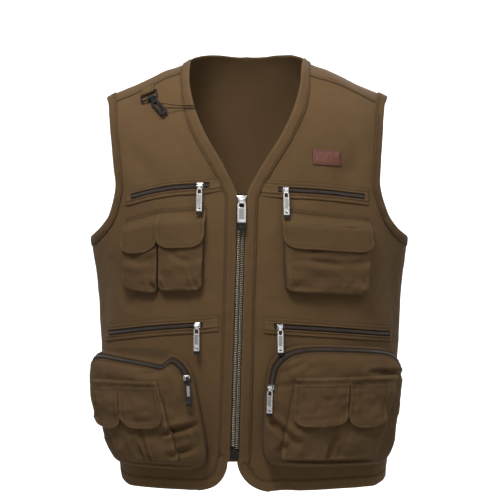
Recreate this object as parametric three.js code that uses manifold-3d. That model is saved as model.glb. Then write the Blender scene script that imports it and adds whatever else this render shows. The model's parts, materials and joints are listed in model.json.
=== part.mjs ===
// An outdoor vest in its worn shape. Millimetres; +Z is up, -Y the front, +X the wearer's left.
// Places on the vest are found on one base form: phi turns from the centre line (0) to the side
// (90 degrees), psi climbs from the chest over the shoulder ridge (90 degrees) and down the back.
import * as THREE from 'three';
import { mergeVertices } from 'three/addons/utils/BufferGeometryUtils.js';
import Module from 'manifold-3d';

const wasm = await Module();
wasm.setup();

// Cloth thicknesses and clearances
const PANEL_WALL = 1.4;
const POCKET_WALL = 1.2;
const BAND_WALL = 1.2;
const LAYER_GAP = 0.45; // between one sewn layer and the next
const PILE_GAP = 0.65; // between puffed layers, whose facets are coarser
const SEAM_TURN = 0.2; // degrees left free at each side of a butted seam

// Torso form
const CHEST_Z = -150; // below this the form is upright, above it rounds over to the shoulders
const ARMPIT_Z = -253;
const HEM_Z = -634;
const BACK_HEM_Z = -615; // at the centre of the back, from where the hem drops to the side seams
const RIDGE_Y = 6; // the shoulder ridge lies this far behind the side seams
const FORM_PASSES = 5; // rounds in which a place's height and half width settle on each other
const BODY = [
  { z: -660, halfWidth: 198, front: 94, back: 97, middle: 10 },
  { z: -560, halfWidth: 212, front: 107, back: 100, middle: 8 },
  { z: -480, halfWidth: 224, front: 115, back: 100, middle: 5 },
  { z: -400, halfWidth: 231, front: 120, back: 102, middle: 4 },
  { z: -330, halfWidth: 235, front: 123, back: 108, middle: 4 },
  { z: -253, halfWidth: 243, front: 125, back: 114, middle: 4 },
  { z: -180, halfWidth: 240, front: 124, back: 117, middle: 1 },
  { z: -150, halfWidth: 238, front: 123, back: 118, middle: 0 },
  { z: -100, halfWidth: 236, front: 120, back: 118, middle: 0 },
  { z: 60, halfWidth: 230, front: 114, back: 116, middle: 0 },
];
const SHOULDER_LINE = [
  { x: 0, z: 66 },
  { x: 40, z: 60 },
  { x: 66, z: 46 },
  { x: 80, z: 33 },
  { x: 92, z: 19 },
  { x: 128, z: 4 },
  { x: 165, z: -13 },
  { x: 200, z: -27 },
  { x: 222, z: -38 },
  { x: 250, z: -52 },
];

// Edges of the panels. Front edges are measured from the centre line, which leans a little.
const CENTRE_LINE = [
  { z: -640, x: -20 },
  { z: -575, x: -18 },
  { z: -183, x: -7 },
  { z: 0, x: -2 },
  { z: 40, x: 0 },
];
const NECKLINE = [
  { z: -640, x: 8 },
  { z: -196, x: 8 },
  { z: -183, x: 11.5 },
  { z: -165, x: 20.5 },
  { z: -142, x: 33 },
  { z: -104, x: 56 },
  { z: -66, x: 73 },
  { z: -28, x: 83 },
  { z: 6, x: 87 },
  { z: 30, x: 88 },
];
// The back neck edge is a quarter ellipse from the centre of the back to the ridge.
const BACK_NECK = { halfWidth: 88, turn: 32, ridgeShare: 0.72 };
const ARMHOLE = [
  { z: -253, front: 243, back: 243 },
  { z: -247, front: 234.5, back: 236 },
  { z: -238, front: 224.5, back: 228 },
  { z: -222, front: 212.5, back: 217 },
  { z: -200, front: 204, back: 209 },
  { z: -175, front: 198.5, back: 205 },
  { z: -150, front: 200, back: 206 },
  { z: -120, front: 202.5, back: 207 },
  { z: -90, front: 206, back: 209 },
  { z: -50, front: 211.5, back: 212.5 },
  { z: -36, front: 217, back: 217 },
];
const SHOULDER_SEAM = { neckZ: 5, armZ: -50 };
const HEM_CORNER = { across: 46, up: 47 }; // rounded lower corner of each front
const FOLDS = [
  { side: 'front', phiTop: -13, phiBottom: -14, top: -395, bottom: -800, width: 4, depth: 4 },
  { side: 'front', phiTop: -19, phiBottom: -21, top: -410, bottom: -800, width: 4, depth: -4 },
  { side: 'front', phiTop: 5, phiBottom: 8, top: -395, bottom: -800, width: 4, depth: 4 },
  { side: 'front', phiTop: 13, phiBottom: 15, top: -410, bottom: -800, width: 4, depth: -3 },
  { side: 'front', phiTop: -70, phiBottom: -76, top: -240, bottom: -430, width: 8, depth: -5 },
  { side: 'front', phiTop: 68, phiBottom: 76, top: -240, bottom: -430, width: 8, depth: -5 },
  { side: 'front', phiTop: -52, phiBottom: -30, top: -95, bottom: -200, width: 7, depth: -3 },
  { side: 'front', phiTop: 52, phiBottom: 34, top: -95, bottom: -200, width: 7, depth: -3 },
  { side: 'back', phiTop: -30, phiBottom: -38, top: -90, bottom: -900, width: 9, depth: 5 },
  { side: 'back', phiTop: 26, phiBottom: 34, top: -90, bottom: -900, width: 9, depth: 5 },
  { side: 'back', phiTop: 2, phiBottom: -4, top: -200, bottom: -900, width: 10, depth: -4 },
];

// Bindings
const NECK_BAND_WIDTH = 16;
const ARM_BAND_WIDTH = 13;

// Zips on the panels: ends of the opening, where the slider stands along it, and the degrees by which its
// pull hangs clear of a flap below
const ZIP_OPENING = 9; // height of the slot in the welt
const ZIP_TAPE = 7.6;
const ZIP_COIL = 2.6;
const ZIP_SPANS = 8;
const ZIP_END = 0.01; // share of the slot left free at each end of the tape
const WELT_HEIGHT = 25;
const TAPE_WALL = 0.8;
const COIL_RISE = 1.2;
const POCKET_ZIPS = [
  {
    name: 'right_chest', outer: [-174, -193], inner: [-55, -176],
    slider: 0.885, weltOuter: 1.07, weltInner: 0.98, hang: 5,
  },
  {
    name: 'left_chest', outer: [176, -193], inner: [46, -183],
    slider: 0.915, weltOuter: 1.05, weltInner: 0.93, hang: 6,
  },
  {
    name: 'right_waist', outer: [-211, -400], inner: [-65, -384],
    slider: 0.945, weltOuter: 1.04, weltInner: 0.84, hang: 3,
  },
  {
    name: 'left_waist', outer: [217, -401], inner: [40, -386],
    slider: 0.95, weltOuter: 1.02, weltInner: 0.92, hang: 7,
  },
];

// Chest pockets and flaps: corners as [x, z], low and high on the wearer's right and left of each
const CHEST_POCKETS = [
  {
    name: 'right_chest_outer', lowRight: [-182, -331], lowLeft: [-134, -340],
    highRight: [-184, -240], highLeft: [-133, -230], depth: 11,
  },
  {
    name: 'right_chest_inner', lowRight: [-130, -335], lowLeft: [-64, -334],
    highRight: [-129, -230], highLeft: [-62, -226], depth: 12,
  },
  {
    name: 'left_chest', lowRight: [56, -336], lowLeft: [180, -343],
    highRight: [52, -230], highLeft: [182, -240], depth: 14,
  },
];
const CHEST_FLAPS = [
  {
    name: 'right_chest_outer', lowRight: [-184, -277], lowLeft: [-133, -276],
    highRight: [-184, -226], highLeft: [-132.5, -213],
  },
  {
    name: 'right_chest_inner', lowRight: [-130, -269], lowLeft: [-60, -267],
    highRight: [-130.5, -212], highLeft: [-59, -208],
  },
  {
    name: 'left_chest', lowRight: [51, -268], lowLeft: [184, -276],
    highRight: [51, -211], highLeft: [183, -225],
  },
];

// Cargo bags: corners as phi from the wearer's right to left and z, and the zip's ends as sectors counted
// from the inner side over the top. The rings run from the sewn edge (share 1) to the middle (share 0).
const CARGO_BAGS = [
  {
    name: 'right', inward: 1, low: [-72, -17.5], high: [-89, -22],
    bottom: [-598, -603], top: [-426, -419], sag: 11, zip: [2, 11],
  },
  {
    name: 'left', inward: -1, low: [3, 70], high: [6.5, 76],
    bottom: [-596, -600], top: [-409, -424], sag: 0, zip: [1, 11],
  },
];
const BAG_SAG = { at: 0.3, width: 0.3 }; // where the mouth hangs down, towards the centre front
const BAG_STEEP = { level: 0.5, below: 0.9, outer: 0.9 }; // how soon the bag stands steep below and outside
const BAG_CORNER_POWER = 4.5;
const BAG_SECTORS = 28;
const BAG_RINGS = [
  { share: 1, atTop: 1.5, atBottom: 1.5 },
  { share: 0.988, atTop: 6, atBottom: 11 },
  { share: 0.968, atTop: 9, atBottom: 17 },
  { share: 0.89, atTop: 15, atBottom: 25 },
  { share: 0.74, atTop: 23, atBottom: 29 },
  { share: 0.45, atTop: 28, atBottom: 31 },
  { share: 0, atTop: 30, atBottom: 30 },
];
const BAG_EDGE_SHARE = 0.984; // inner side of the sewn edge
const BAG_ZIP_RINGS = [2, 3]; // the zip lies between these two rings
const BAG_ZIP_CLEAR = 0.06; // share of a cell left free round the tape
const BAG_TAPE_SHARES = [BAG_ZIP_CLEAR, 0.4, 0.6, 1 - BAG_ZIP_CLEAR]; // edges of the tape and of its coil
const BAG_SLIDER_SHARE = 0.35; // of a sector, up from the zip's inner end
const BAG_SLIDER_GAP = 0.7;

// Patch pockets and flaps on the bags: corners as phi from the wearer's right to left, and z
const PATCHES = [
  { name: 'right', low: [-59, -28], high: [-71, -34.5], bottom: -584, top: -466, depth: 6 },
  { name: 'left', low: [10, 54], high: [16, 65], bottom: -582, top: -460, depth: 6 },
];
const PATCH_FLAPS = [
  { bag: 'right', name: 'outer', low: [-68.5, -52.4], high: [-70, -53.4], bottom: -534, top: -475 },
  { bag: 'right', name: 'inner', low: [-51.6, -33], high: [-52.6, -35.2], bottom: -533, top: -474 },
  { bag: 'left', name: 'inner', low: [15, 36], high: [16, 36.4], bottom: -529, top: -468 },
  { bag: 'left', name: 'outer', low: [36.8, 54], high: [37.2, 56], bottom: -533, top: -470 },
];

// Front zip
const CHAIN_TOP_Z = -196;
const CHAIN_BOTTOM_Z = -572;
const CHAIN_HALF = 4.8;
const CHAIN_RISE = 2.7;
const TAPE_UNDER = 1.8;
const FRONT_SLIDER_GAP = 0.98; // it rides clear of the bands beside the teeth
const TAPE_HALF = 10.5;
const TAPE_GAP = 0.9; // below the panel's inner face
const CHAIN_ROWS = 10;
const CHAIN_COLUMNS = [
  { off: 0.3, over: CHAIN_RISE },
  { off: CHAIN_HALF, over: CHAIN_RISE },
  { off: CHAIN_HALF + 0.2, over: -TAPE_GAP },
  { off: TAPE_HALF, over: -TAPE_GAP },
];
const FRONT_SLIDER_DOWN = 0.2; // share of the slider's height below the top of the chain
const FRONT_BOX = { width: 11, depth: 4, height: 14, lift: 0.4 };

// Sliders and pulls: `along` lies along the pull's hinge
const POCKET_SLIDER = { along: 9.5, thick: 3, tall: 8.4, crown: 0 };
const FRONT_SLIDER = { along: 12, thick: 3.6, tall: 12, crown: 2.2 };
const POCKET_PULL = { width: 8.6, length: 43 };
const FRONT_PULL = { width: 12.6, length: 46 };
const PULL = { thick: 1.6, start: 3.8, shoulder: 2.4, corner: 1.5, notch: 2, notchShare: 0.35 };
const PULL_WINDOW = { side: 0.6, top: 5.8, low: 10.3 };
const PULL_PANEL = { rise: 0.4, top: 12.3, widthShare: 0.6, lengthShare: 0.36 };
const SLIDER_CORNER = 1;
const JOIN_SINK = 0.2; // how far joined solids reach into each other
const ROD_RADIUS = 0.8;
const ROD_UP = 2.8; // rod above the slider's face
const KNUCKLE = { outer: 2, inner: 1.25, along: 4.4 };
const EAR = { clear: 0.4, thick: 1.2, half: 1.5 };

// Leather patch and shoulder tab with its ring, hook and cord
const LEATHER_CORNER = { across: 0.02, up: 0.01 };
const LEATHER = { x: 119, z: -132, width: 42, height: 23, thick: 1.6, tilt: -3 };
const TAB = { x: -150, z: -27, roll: -30, width: 19, length: 17, cloth: 1.2, fold: 3.4, clear: 0.6 };
const RING = { width: 26, height: 15, wire: 1.15, corner: 3, droop: 8 };
const HOOK = { x: 3, length: 33, width: 11, thick: 3, turn: -22, droop: 7, seat: 2.4 };
const HOOK_TIP = { up: 1.5, share: 0.6 };
const HOOK_SLEEVE = { radius: 3.7, hole: 1.9, length: 11 };
const HOOK_NECK = { half: 3, low: 4, shoulder: 8 };
const HOOK_SLOT = { half: 2.3, top: 11, low: 5 };
const CORD_RADIUS = 0.6;
const CORD = { upperZ: -58, lowerZ: -62, spans: 34 };
// Over the neck edge: how far in from the edge, and the lift off the form or over the cloth below.
const CORD_EDGE = [
  { into: 9, lift: -2.7 },
  { into: 2, lift: -2.5 },
  { into: -2.2, lift: 0.6 },
  { into: -1.9, lift: 3.8 },
  { into: 1.6, over: 1.9 },
  { into: 10, over: 1.7 },
  { into: 19, over: 4 },
];
// Round the end of the hook's loop: side of the hook that it lies on, and height over the hook's end.
const CORD_ROUND = [
  { side: -1.2, up: 10.5 },
  { side: 0, up: 7.6 },
  { side: 1, up: 5.4 },
  { side: 1, up: 1 },
  { side: 0, up: -1.8 },
  { side: -1, up: -1 },
];

const COLOURS = {
  cloth: { color: 0x62503a, roughness: 0.92, metalness: 0 },
  tape: { color: 0x2f2620, roughness: 0.85, metalness: 0 },
  metal: { color: 0xc9c9c6, roughness: 0.25, metalness: 1 },
  brass: { color: 0x6b6250, roughness: 0.4, metalness: 1 },
  plastic: { color: 0x1c1b19, roughness: 0.4, metalness: 0 },
  leather: { color: 0x8c4632, roughness: 0.6, metalness: 0 },
};

const radians = THREE.MathUtils.degToRad;
const { lerp, clamp } = THREE.MathUtils;

// Smooth curve through a table's rows: cubic pieces, each row's slope taken from its neighbours.
function curve(rows, along, column, at) {
  const last = rows.length - 1;
  if (at <= rows[0][along]) return rows[0][column];
  if (at >= rows[last][along]) return rows[last][column];
  const i = rows.findIndex((row) => row[along] >= at) - 1;
  const slope = (k) => {
    const low = rows[Math.max(k - 1, 0)];
    const high = rows[Math.min(k + 1, last)];
    return (high[column] - low[column]) / (high[along] - low[along]);
  };
  const step = rows[i + 1][along] - rows[i][along];
  const t = (at - rows[i][along]) / step;
  const rise = rows[i + 1][column] - rows[i][column];
  const a = slope(i) * step - rise;
  const b = rise - slope(i + 1) * step;
  return rows[i][column] + t * rise + t * (1 - t) * (a * (1 - t) + b * t);
}

const halfWidth = (z) => curve(BODY, 'z', 'halfWidth', z);
const middle = (z) => curve(BODY, 'z', 'middle', z);
const centre = (z) => curve(CENTRE_LINE, 'z', 'x', z);
const neckX = (z) => curve(NECKLINE, 'z', 'x', z);
const armX = (z, side) => curve(ARMHOLE, 'z', side, z);
const climb = (x) => curve(SHOULDER_LINE, 'x', 'z', Math.abs(x)) - CHEST_Z;

// Place on the form at a front or back position seen from the front.
function placeAt(x, z, side = 'front') {
  const phi = Math.asin(clamp((x - middle(z)) / halfWidth(z), -1, 1));
  const up = (z - CHEST_Z) / climb(x);
  const psi = up > 0 ? Math.asin(Math.min(up, 1)) : up;
  return { phi, psi: side === 'front' ? psi : Math.PI - psi };
}

const placeTurned = (phi, z, side) => placeAt(middle(z) + halfWidth(z) * Math.sin(phi), z, side);

// Bare form without folds.
function formPoint({ phi, psi }) {
  let x = 0;
  let z = 0;
  const onDome = psi > 0 && psi < Math.PI;
  const height = onDome ? Math.sin(psi) : Math.min(psi, Math.PI - psi);
  for (let pass = 0; pass < FORM_PASSES; pass += 1) {
    z = CHEST_Z + climb(x) * height;
    x = middle(z) + halfWidth(z) * Math.sin(phi);
  }
  const reach = onDome ? Math.abs(Math.cos(psi)) : 1;
  const front = psi < Math.PI / 2;
  const depth = front ? -curve(BODY, 'z', 'front', z) : curve(BODY, 'z', 'back', z);
  return new THREE.Vector3(x, RIDGE_Y + (depth * Math.cos(phi) - RIDGE_Y) * reach, z);
}

function formNormal(place) {
  const step = 1e-3;
  const moved = (phi, psi) => formPoint({ phi: place.phi + phi, psi: place.psi + psi });
  const across = moved(step, 0).sub(moved(-step, 0));
  const up = moved(0, step).sub(moved(0, -step));
  const normal = across.cross(up).normalize();
  const point = formPoint(place);
  const out = point.clone().sub(new THREE.Vector3(0, RIDGE_Y, Math.min(point.z, CHEST_Z)));
  return normal.dot(out) < 0 ? normal.negate() : normal;
}

// Height of the folds: each runs down from its top, with a rounded cross-section.
function foldHeight({ phi, psi }, z) {
  const side = psi < Math.PI / 2 ? 'front' : 'back';
  return FOLDS.filter((fold) => fold.side === side).reduce((sum, fold) => {
    const t = clamp((fold.top - z) / (fold.top - fold.bottom), 0, 1);
    const off = (THREE.MathUtils.radToDeg(phi) - lerp(fold.phiTop, fold.phiBottom, t)) / fold.width;
    return sum + fold.depth * Math.sin(Math.PI * t) * Math.exp(-off * off);
  }, 0);
}

// Point of the worn cloth, lifted off the form along its normal.
function clothPoint(place, lift) {
  const point = formPoint(place);
  return point.addScaledVector(formNormal(place), lift + foldHeight(place, point.z));
}

// Closed wall from grids of { inner, outer } points. Grids share the vertices that coincide, and the free
// edges are closed.
function wallGeometry(grids, missing = () => false) {
  const vertices = [];
  const known = new Map();
  const vertexOf = ({ inner, outer }) => {
    const key = outer.toArray().map((v) => Math.round(v * 1e3)).join();
    if (!known.has(key)) {
      known.set(key, vertices.length / 2);
      vertices.push(outer, inner);
    }
    return known.get(key);
  };
  const faces = [];
  grids.forEach((grid) => {
    const cells = [];
    for (let r = 0; r + 1 < grid.length; r += 1) {
      for (let c = 0; c + 1 < grid[r].length; c += 1) {
        const cell = [grid[r][c], grid[r][c + 1], grid[r + 1][c + 1], grid[r + 1][c]];
        if (!missing(r, c)) cells.push(cell);
      }
    }
    const facing = cells.reduce((sum, [a, b, d]) => {
      const normal = b.outer.clone().sub(a.outer).cross(d.outer.clone().sub(a.outer));
      return sum + normal.dot(a.outer.clone().sub(a.inner));
    }, 0);
    cells.forEach((cell) => {
      const ring = cell.map(vertexOf);
      if (facing < 0) ring.reverse();
      const [a, b, d, e] = cell.map(({ outer }) => outer);
      const halves = a.distanceTo(d) <= b.distanceTo(e) ? [[0, 1, 2], [0, 2, 3]] : [[0, 1, 3], [1, 2, 3]];
      halves.forEach((pick) => {
        const face = pick.map((k) => ring[k]);
        if (new Set(face).size === 3) faces.push(face);
      });
    });
  });
  const used = new Set(faces.flatMap(([a, b, c]) => [`${a},${b}`, `${b},${c}`, `${c},${a}`]));
  const index = [];
  faces.forEach(([a, b, c]) => {
    index.push(2 * a, 2 * b, 2 * c, 2 * a + 1, 2 * c + 1, 2 * b + 1);
    [[a, b], [b, c], [c, a]].forEach(([from, to]) => {
      if (used.has(`${to},${from}`)) return;
      index.push(2 * to, 2 * from, 2 * from + 1, 2 * to, 2 * from + 1, 2 * to + 1);
    });
  });
  return new THREE.BufferGeometry().setFromPoints(vertices).setIndex(index);
}

// Grid of wall points over places, from the form outwards.
const panelGrid = (places) => places.map((row) => row.map((place) => (
  { inner: clothPoint(place, 0), outer: clothPoint(place, PANEL_WALL) }
)));

const group = new THREE.Group();
group.name = 'vest';
const meshes = {};
function addMesh(name, geometry, colour, parent = group) {
  const material = new THREE.MeshStandardMaterial({ ...COLOURS[colour], side: THREE.DoubleSide });
  const mesh = new THREE.Mesh(geometry, material);
  mesh.name = name;
  parent.add(mesh);
  mesh.updateWorldMatrix(true, false);
  meshes[name] = mesh;
  return mesh;
}

const steps = (count) => Array.from({ length: count + 1 }, (_, k) => k / count);
const mixPlace = (a, b, t) => ({ phi: lerp(a.phi, b.phi, t), psi: lerp(a.psi, b.psi, t) });

// Body panels
const ARM_ROWS = ARMHOLE.map((row) => row.z).filter((z) => z > ARMPIT_Z && z <= CHEST_Z);
const LOWER_ROWS = 9;
const UPPER_ROWS = 6;
const PANEL_COLUMNS = 9;
const COLUMN_POWER = 1.5; // columns of the fronts lie closer at the front edge
const sideTurn = radians(90 - SEAM_TURN);
const seamTurn = radians(SEAM_TURN / 2);

function hemZ(fromFrontEdge) {
  const into = clamp(1 - fromFrontEdge / HEM_CORNER.across, 0, 1);
  return HEM_Z + HEM_CORNER.up * (1 - Math.sqrt(1 - into * into));
}

function frontEdge(z, sign) {
  return placeAt(centre(z) + sign * neckX(z), z);
}

const armEdge = (z, sign, side) => placeAt(middle(z) + sign * armX(z, side), z, side);

function frontPlaces(sign) {
  const columns = steps(PANEL_COLUMNS).map((s) => s ** COLUMN_POWER);
  const lower = steps(LOWER_ROWS).map((t) => columns.map((s) => {
    const phi = lerp(frontEdge(lerp(HEM_Z + HEM_CORNER.up, ARMPIT_Z, t), sign).phi, sign * sideTurn, s);
    const hemX = middle(HEM_Z) + halfWidth(HEM_Z) * Math.sin(phi);
    const fromEdge = Math.abs(hemX - centre(HEM_Z)) - neckX(HEM_Z);
    const z = lerp(hemZ(fromEdge), ARMPIT_Z, t);
    return placeTurned(phi, z);
  }));
  const chest = ARM_ROWS.map((z) => columns.map((s) => (
    placeTurned(lerp(frontEdge(z, sign).phi, armEdge(z, sign, 'front').phi, s), z)
  )));
  const upper = steps(UPPER_ROWS).slice(1).map((w) => {
    const inner = frontEdge(lerp(CHEST_Z, SHOULDER_SEAM.neckZ, w), sign);
    const z = lerp(CHEST_Z, SHOULDER_SEAM.armZ, w);
    const outer = armEdge(z, sign, 'front');
    const trim = w === 1 ? seamTurn : 0;
    return columns.map((s) => mixPlace(inner, outer, s)).map(({ phi, psi }) => ({ phi, psi: psi - trim }));
  });
  return [...lower, ...chest, ...upper];
}

const shoulderSeamEnds = (sign) => ({
  neck: frontEdge(SHOULDER_SEAM.neckZ, sign),
  arm: armEdge(SHOULDER_SEAM.armZ, sign, 'front'),
});

// Neck edge over the ridge: from the centre of the back (t = 0) to the front shoulder seam (t = 1).
function backNeckEdge(sign, t) {
  const seam = shoulderSeamEnds(sign).neck;
  const round = radians(90 * Math.min(t / BACK_NECK.ridgeShare, 1));
  const place = { phi: 0, psi: radians(90 + BACK_NECK.turn * Math.cos(round)) };
  for (let pass = 0; pass < FORM_PASSES; pass += 1) {
    place.phi = Math.asin((sign * BACK_NECK.halfWidth * Math.sin(round)) / halfWidth(formPoint(place).z));
  }
  return mixPlace(place, seam, Math.max(t - BACK_NECK.ridgeShare, 0) / (1 - BACK_NECK.ridgeShare));
}

// Armhole edge over the ridge: from the chest level of the back (t = 0) to the front shoulder seam (t = 1).
function backArmEdge(sign, t) {
  const seam = shoulderSeamEnds(sign).arm;
  const place = { phi: sign * radians(60), psi: lerp(Math.PI, seam.psi, t) };
  for (let pass = 0; pass < FORM_PASSES; pass += 1) {
    const { z } = formPoint(place);
    place.phi = sign * Math.asin(armX(z, place.psi < Math.PI / 2 ? 'front' : 'back') / halfWidth(z));
  }
  return place;
}

const BACK_UPPER_ROWS = 14;
const BACK_NECK_START = 5 / BACK_UPPER_ROWS; // share of the climb where the back neck edge begins
function backPlaces(sign) {
  const columns = steps(PANEL_COLUMNS);
  const upright = (z, outer) => columns.map((s) => placeTurned(outer * s, z, 'back'));
  const lower = steps(LOWER_ROWS).map((t) => columns.map((s) => {
    const hem = lerp(BACK_HEM_Z, HEM_Z, s * s);
    return placeTurned(sign * sideTurn * s, lerp(hem, ARMPIT_Z, t), 'back');
  }));
  const blades = ARM_ROWS.map((z) => upright(z, armEdge(z, sign, 'back').phi));
  const neckTop = radians(90 + BACK_NECK.turn);
  const upper = steps(BACK_UPPER_ROWS).slice(1).map((w) => {
    const inner = w <= BACK_NECK_START
      ? { phi: 0, psi: lerp(Math.PI, neckTop, w / BACK_NECK_START) }
      : backNeckEdge(sign, (w - BACK_NECK_START) / (1 - BACK_NECK_START));
    const trim = w === 1 ? seamTurn : 0;
    const outer = backArmEdge(sign, w);
    return columns.map((s) => mixPlace(inner, outer, s)).map(({ phi, psi }) => ({ phi, psi: psi + trim }));
  });
  return [...lower, ...blades, ...upper];
}

addMesh('right_front_panel', wallGeometry([panelGrid(frontPlaces(-1))]), 'cloth');
addMesh('left_front_panel', wallGeometry([panelGrid(frontPlaces(1))]), 'cloth');
addMesh('back_panel', wallGeometry([-1, 1].map((sign) => panelGrid(backPlaces(sign)))), 'cloth');

// Step of phi and psi that moves one millimetre over the cloth in a given direction.
function turnPerMillimetre(place, direction) {
  const step = 1e-3;
  const point = formPoint(place);
  const across = formPoint({ ...place, phi: place.phi + step }).sub(point).divideScalar(step);
  const up = formPoint({ ...place, psi: place.psi + step }).sub(point).divideScalar(step);
  const [aa, au, uu] = [across.dot(across), across.dot(up), up.dot(up)];
  const [da, du] = [direction.dot(across), direction.dot(up)];
  const scale = aa * uu - au * au;
  return { phi: (da * uu - du * au) / scale, psi: (du * aa - da * au) / scale };
}

// Strip of cloth along an edge: each row runs from the edge into the panel, away from the opening.
function edgeStrip(edge, width, side, closed) {
  return edge.map((place, k) => {
    const before = edge[closed ? (k + edge.length - 1) % edge.length : Math.max(k - 1, 0)];
    const after = edge[closed ? (k + 1) % edge.length : Math.min(k + 1, edge.length - 1)];
    const along = formPoint(after).sub(formPoint(before)).normalize();
    const inward = formNormal(place).cross(along).multiplyScalar(side);
    const turn = turnPerMillimetre(place, inward);
    return [place, { phi: place.phi + turn.phi * width, psi: place.psi + turn.psi * width }];
  });
}

// Height of a point over the topmost of some meshes, endless where none lies there.
const caster = new THREE.Raycaster();
const CAST_FROM = 90;
function clearance(point, normal, below) {
  caster.set(point.clone().addScaledVector(normal, CAST_FROM), normal.clone().negate());
  const hits = below.flatMap((name) => caster.intersectObject(meshes[name]));
  return Math.min(...hits.map((hit) => hit.distance)) - CAST_FROM;
}
// Lift at which a layer would touch the meshes below; beside them it lies level with a panel's face.
function restingLift(place, below) {
  const height = clearance(clothPoint(place, 0), formNormal(place), below);
  return height < 0 ? -height : PANEL_WALL;
}

// Lays a wall of cloth over the meshes below: a triangle of its points that dips into them is raised.
// Near places count too, so that cloth runs straight over a step. The wall may be thicker in some rows.
const SETTLE_PASSES = 4;
const SETTLE_HALVES = [[0, 1, 2], [0, 2, 3], [0, 1, 3], [1, 2, 3]];
const SETTLE_ORDER = 4;
const SETTLE_WEIGHTS = steps(SETTLE_ORDER).flatMap((a, k) => (
  steps(SETTLE_ORDER).slice(0, SETTLE_ORDER + 1 - k).map((b) => [a, b, 1 - a - b])
)).filter((weights) => Math.max(...weights) < 1);
function laidGrid(places, below, gap, wall, stand = () => 0, thicker = () => 0) {
  const rest = (place) => Math.max(...[place, ...(place.near ?? [])].map((spot) => restingLift(spot, below)));
  const spots = places.map((row) => row.map((place) => (
    { place, lift: rest(place) + gap + stand(place), rise: 0 }
  )));
  const cells = spots.slice(1).flatMap((row, r) => row.slice(1).map((spot, c) => (
    [spots[r][c], spots[r][c + 1], spot, row[c]]
  )));
  const triangles = cells.flatMap((cell) => SETTLE_HALVES.map((pick) => pick.map((k) => cell[k])));
  const samples = triangles.flatMap((corners) => SETTLE_WEIGHTS.map((weights) => {
    const sum = (key) => corners.reduce((total, { place }, k) => total + weights[k] * place[key], 0);
    return { corners, weights, normal: formNormal({ phi: sum('phi'), psi: sum('psi') }) };
  }));
  for (let pass = 0; pass < SETTLE_PASSES; pass += 1) {
    spots.flat().forEach((spot) => {
      spot.lift += spot.rise;
      spot.rise = 0;
      spot.point = clothPoint(spot.place, spot.lift);
    });
    samples.forEach(({ corners, weights, normal }) => {
      const point = new THREE.Vector3();
      corners.forEach((spot, k) => point.addScaledVector(spot.point, weights[k]));
      const short = gap - clearance(point, normal, below);
      corners.forEach((spot) => { spot.rise = Math.max(spot.rise, short); });
    });
  }
  return spots.map((row, r) => row.map(({ place, lift, rise }) => (
    { inner: clothPoint(place, lift + rise), outer: clothPoint(place, lift + rise + wall + thicker(r)) }
  )));
}

// Neck band: up one front edge, round the neck and down the other.
const NECK_BAND_LOW_Z = HEM_Z + HEM_CORNER.up + 2;
const NECK_BAND_ROWS = { straight: 8, rise: 6, over: 10 };
const VEE_FOOT_Z = -200;
const VEE_HEIGHTS = [-191, -183, -174, -162, CHEST_Z];
function neckEdge(sign) {
  const between = (low, high, t) => frontEdge(lerp(low, high, t), sign);
  const straight = steps(NECK_BAND_ROWS.straight).map((t) => between(NECK_BAND_LOW_Z, VEE_FOOT_Z, t));
  const vee = VEE_HEIGHTS.map((z) => frontEdge(z, sign));
  const rise = steps(NECK_BAND_ROWS.rise).slice(1).map((t) => between(CHEST_Z, SHOULDER_SEAM.neckZ, t));
  const over = steps(NECK_BAND_ROWS.over).slice(1).map((t) => backNeckEdge(sign, 1 - t));
  return [...straight, ...vee, ...rise, ...over];
}
const PANELS = ['right_front_panel', 'left_front_panel', 'back_panel'];
const neckPath = [...neckEdge(-1), ...neckEdge(1).reverse().slice(1)];
const neckStrip = edgeStrip(neckPath, NECK_BAND_WIDTH, 1, false);
addMesh('neck_band', wallGeometry([laidGrid(neckStrip, PANELS, PILE_GAP, BAND_WALL)]), 'cloth');

const ARM_BAND_ROWS = { rise: 4, over: 10 };
function armholeEdge(sign) {
  const heights = [ARMPIT_Z, ...ARM_ROWS];
  const front = heights.map((z) => armEdge(z, sign, 'front'));
  const rise = steps(ARM_BAND_ROWS.rise).slice(1).map((t) => lerp(CHEST_Z, SHOULDER_SEAM.armZ, t))
    .map((z) => armEdge(z, sign, 'front'));
  const over = steps(ARM_BAND_ROWS.over).slice(1).map((t) => backArmEdge(sign, 1 - t));
  const back = heights.slice(1, -1).reverse().map((z) => armEdge(z, sign, 'back'));
  return [...front, ...rise, ...over, ...back];
}
[['right', -1], ['left', 1]].forEach(([side, sign]) => {
  const strip = edgeStrip(armholeEdge(sign), ARM_BAND_WIDTH, sign, true);
  const laid = laidGrid([...strip, strip[0]], PANELS, LAYER_GAP, BAND_WALL);
  laid[laid.length - 1] = laid[0];
  addMesh(`${side}_armhole_band`, wallGeometry([laid]), 'cloth');
});

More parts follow.
